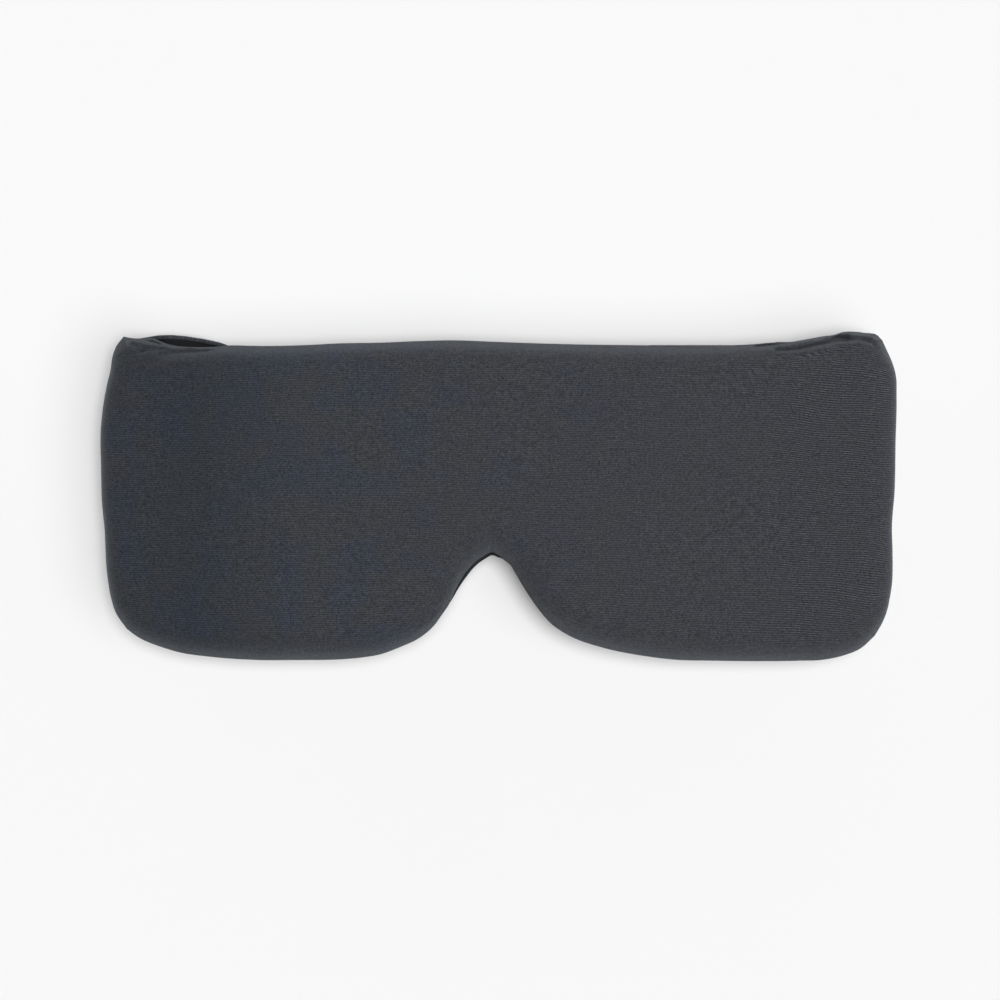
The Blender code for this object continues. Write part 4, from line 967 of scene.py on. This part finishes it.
def band_cloth(name, side, nodes):
    """Soft flat band with rounded, pressed hems. Its inner face has a brushed backing, coloured much darker
    than the knit as painted shade for the gap under the cover's edge.
    """
    around = 96
    turn = np.linspace(0, 2 * math.pi, around, endpoint=False)
    across = np.sign(np.cos(turn)) * np.abs(np.cos(turn)) ** 0.60
    thick = np.sign(np.sin(turn)) * np.abs(np.sin(turn)) ** 0.42
    hem = 1.0 - 0.20 * bell(np.abs(across) - 0.90, 0.035)
    shares, order = np.unique(np.round(across, 6), return_inverse=True)
    profile, middle, normal = band_surface(side, shares)
    run = run_along(profile)
    to_tip = np.clip((run[-1] - run) / 1.2, 0, 1)
    end = np.sqrt(np.clip(1 - (1 - to_tip) ** 2, 0.02, 1))
    points, uv = [], []
    for k in range(around):
        line, out = middle[:, order[k]], normal[:, order[k]]
        swell = 1.0 + 0.10 * soft_noise(line, 9.0, 2.2 + side)
        points.append(line + (thick[k] * BAND_HALF_THICK * hem[k] * end * swell)[:, None] * out)
        uv += list(zip(run, line[:, 1] + line[:, 2]))
    points = np.concatenate(points)
    points[:, 2] = np.maximum(points[:, 2], BAND_LOWEST_Z)
    faces = tube_faces(around, BAND_STATIONS, False)
    faces.append([k * BAND_STATIONS for k in range(around)])
    faces.append([(k + 1) * BAND_STATIONS - 1 for k in range(around)])
    band = make_object(name, points, faces, KNIT_BAND, uv)
    # Second material: the dark backing, painted shade on the band's inner face
    band.data.materials.append(BAND_INSIDE_PAINTED_SHADE)
    upward = math.copysign(1.0, normal[BAND_STATIONS // 2, 0, 2])
    quads = BAND_STATIONS - 1
    for k in range(around):
        if upward * (thick[k] + thick[(k + 1) % around]) > 1.1:
            for polygon in band.data.polygons[k * quads:(k + 1) * quads]:
                polygon.material_index = 1
    edit_mesh(band, face_outwards)
    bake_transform(band)
    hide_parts(*nodes)


def band_stitches(name, side):
    """Top stitching along both long edges of a band, on its two faces."""
    _, middle, normal = band_surface(side, np.array([-0.88, 0.86]))
    keep = slice(30, BAND_STATIONS - 8)
    rows = []
    for edge in (0, 1):
        for face in (-1, 1):
            out = face * normal[keep, edge]
            path = middle[keep, edge] + 0.93 * BAND_HALF_THICK * out
            path[:, 2] = np.maximum(path[:, 2], THREAD_LOWEST_Z)
            rows.append((path, out))
    row = stitches(name, rows)
    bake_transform(row)


def tape_patch(centre, size):
    """Points and faces of a tape patch with round corners and a pressed edge."""
    half = np.array(size) / 2
    rim = even_loop(round_rectangle(-half, half, TAPE_CORNER), 96)
    rings = [(0.02, -0.5), (0.985, -0.5), (1.0, -0.3), (1.0, 0.3), (0.985, 0.5), (0.93, 0.5),
             (0.90, 0.32), (0.6, 0.32), (0.02, 0.32)]
    points = [
        (centre[0] + x * scale, centre[1] + y * scale, centre[2] + TAPE_THICK * level)
        for scale, level in rings for x, y in rim
    ]
    return points, stack_faces(len(rings), len(rim))


# A hook's stem, each (share of its height, half width)
HOOK_STEM = [(0.0, 0.24), (0.30, 0.17), (0.52, 0.13), (0.62, 0.10)]
HOOK_ROWS, HOOK_PITCH, HOOK_STAGGER = 17, 1.5, 0.35


def hook_tape():
    """Hook patch: rows of small bent hooks that lean one way and the other."""
    points, faces = tape_patch(HOOK_CENTRE, HOOK_SIZE)
    first_x, first_y = (c - HOOK_PITCH * (HOOK_ROWS - 1) / 2 for c in HOOK_CENTRE[:2])
    sides = 4
    for row in range(HOOK_ROWS):
        lean = 1 if row % 2 else -1
        for column in range(HOOK_ROWS):
            x = first_x + HOOK_PITCH * column + HOOK_STAGGER * lean
            y = first_y + HOOK_PITCH * row
            faces += stack_faces(len(HOOK_STEM), sides, len(points))
            for rise, thick in HOOK_STEM:
                bend = lean * 0.9 * rise**2
                for m in range(sides):
                    angle = math.pi / 4 + 2 * math.pi * m / sides
                    points.append((x + bend + thick * math.cos(angle), y + thick * math.sin(angle),
                                   HOOK_CENTRE[2] + 0.22 + rise * 0.62))
    tape = make_object("hook_tape", points, faces, HOOK, smooth=False)
    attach(tape, "right_strap")
    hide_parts("hook_patch")


def loop_tape():
    """Loop patch, facing down."""
    points, faces = tape_patch(LOOP_CENTRE, LOOP_SIZE)
    points = [(x, y, 2 * LOOP_CENTRE[2] - z) for x, y, z in points]
    tape = make_object("loop_tape", points, [face[::-1] for face in faces], LOOP)
    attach(tape, "left_strap")
    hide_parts("loop_patch")


def patch_stitching(tape, centre, size, level, out, strap):
    """Stitching just inside a patch's edge."""
    x, y = size[0] / 2 - 1.0, size[1] / 2 - 1.0
    corners = np.array([(-x, -y), (x, -y), (x, y), (-x, y), (-x, -y)]) + centre[:2]
    line = evenly_spaced(corners, 200)
    path = np.column_stack([line, np.full(len(line), level)])
    row = stitches(tape + "_stitching", [(path, (0, 0, out))], pitch=2.2)
    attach(row, strap)


def pull_tab():
    """Woven tape at the outer band's tip, a little wavy, its free corners taken off."""
    columns, rows = 30, 15
    run = np.linspace(0, 1, columns)
    x = -41.4 - 10.6 * run
    z = 0.85 + 0.22 * np.sin(run * 5.0) * run
    points = []
    for share in np.linspace(-1, 1, rows):
        round_off = 1 - 0.16 * ease((run - 0.8) / 0.2) * abs(share)
        points.append(np.column_stack([x, 20.0 + 6.4 * share * round_off, z]))
    points = np.concatenate(points)
    tab = make_object("woven_pull_tab", points, grid_faces(columns, rows), TAPE, uv=points[:, :2].tolist())
    shell(tab, 1.0, 0.0)
    apply_modifiers(tab)
    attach(tab, "right_strap")
    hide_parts("pull_tab")


def head_bands():
    for name, side, length, other in (("right", 1, 0.170, "left"), ("left", -1, 0.128, "right")):
        nodes, strap = (f"{name}_band", f"{name}_band_anchor"), f"{name}_strap"
        band_cloth(f"{name}_band_cloth", side, nodes)
        band_stitches(f"{name}_band_stitching", side)
    hook_tape()
    loop_tape()
    pull_tab()
    patch_stitching("hook_tape", HOOK_CENTRE, HOOK_SIZE, 3.2, 1, "right_strap")
    patch_stitching("loop_tape", LOOP_CENTRE, LOOP_SIZE, 3.5, -1, "left_strap")


# ---- floor, light and camera

FLOOR_HALF = 3000.0

# Name, irradiance, angular size and direction: a soft box overhead and a softer one at the lower right
LIGHTS = [
    ("overhead", 2.45, 23.0, (0.075, 0.015, 1.0)),
    ("side_window", 1.00, 46.0, (0.42, -0.21, 1.0)),
]
CAMERA_X, CAMERA_Y, CAMERA_DISTANCE, CAMERA_LENS = 0.45, -1.2, 1000.0, 120.0


def floor():
    finish, tree, shader, place = start("pale_floor", 0.9)
    tone = ramp(tree, noise_node(tree, place, 0.01, 2.0), [(0.3, grey(0.843)), (0.7, grey(0.847))])
    tree.links.new(tone, shader.inputs["Base Color"])
    shader.inputs["Specular IOR Level"].default_value = 0.0
    corners = [(x * FLOOR_HALF, y * FLOOR_HALF, 0) for x, y in ((-1, -1), (1, -1), (1, 1), (-1, 1))]
    make_object("floor", corners, [(0, 1, 2, 3)], finish, smooth=False)


def world_light():
    """White room that is bright low down, where it lights the rims, and dim overhead and towards -Y."""
    world = bpy.data.worlds.new("studio")
    bpy.context.scene.world = world
    world.use_nodes = True
    tree = world.node_tree
    way = add(tree, "SeparateXYZ", {0: add(tree, "TexCoord").outputs["Generated"]})
    glow = rescale(tree, way.outputs[2], 0.12, 0.34, 1.0, 0.04)
    side = rescale(tree, way.outputs[1], -0.6, 0.1, 0.02, 1.0)
    background = tree.nodes["Background"]
    tree.links.new(calc(tree, "MULTIPLY", glow, side), background.inputs["Strength"])
    background.inputs["Color"].default_value = (1.0, 1.0, 1.0, 1.0)


def lamps():
    for name, energy, angle, towards in LIGHTS:
        lamp = bpy.data.lights.new(name, "SUN")
        lamp.energy = energy
        lamp.angle = math.radians(angle)
        sun = bpy.data.objects.new(name, lamp)
        bpy.context.scene.collection.objects.link(sun)
        sun.rotation_euler = Vector(towards).to_track_quat("Z", "Y").to_euler()


def camera():
    """Straight down on the mask, a metre above its widest line."""
    lens = bpy.data.cameras.new("camera")
    lens.lens = CAMERA_LENS
    lens.sensor_width = 36.0
    lens.clip_start, lens.clip_end = 0.05, 20.0
    view = bpy.data.objects.new("camera", lens)
    bpy.context.scene.collection.objects.link(view)
    view.location = (CAMERA_X * MM, CAMERA_Y * MM, (CAMERA_DISTANCE + WIDEST_Z) * MM)
    bpy.context.scene.camera = view
    bpy.context.scene.view_settings.view_transform = "Standard"


floor()
world_light()
lamps()
camera()
finish_cad_nodes()
knit_cover()
face_side()
nose_flap()
eye_cushion("left_eye_ring", -1)
eye_cushion("right_eye_ring", 1)
head_bands()
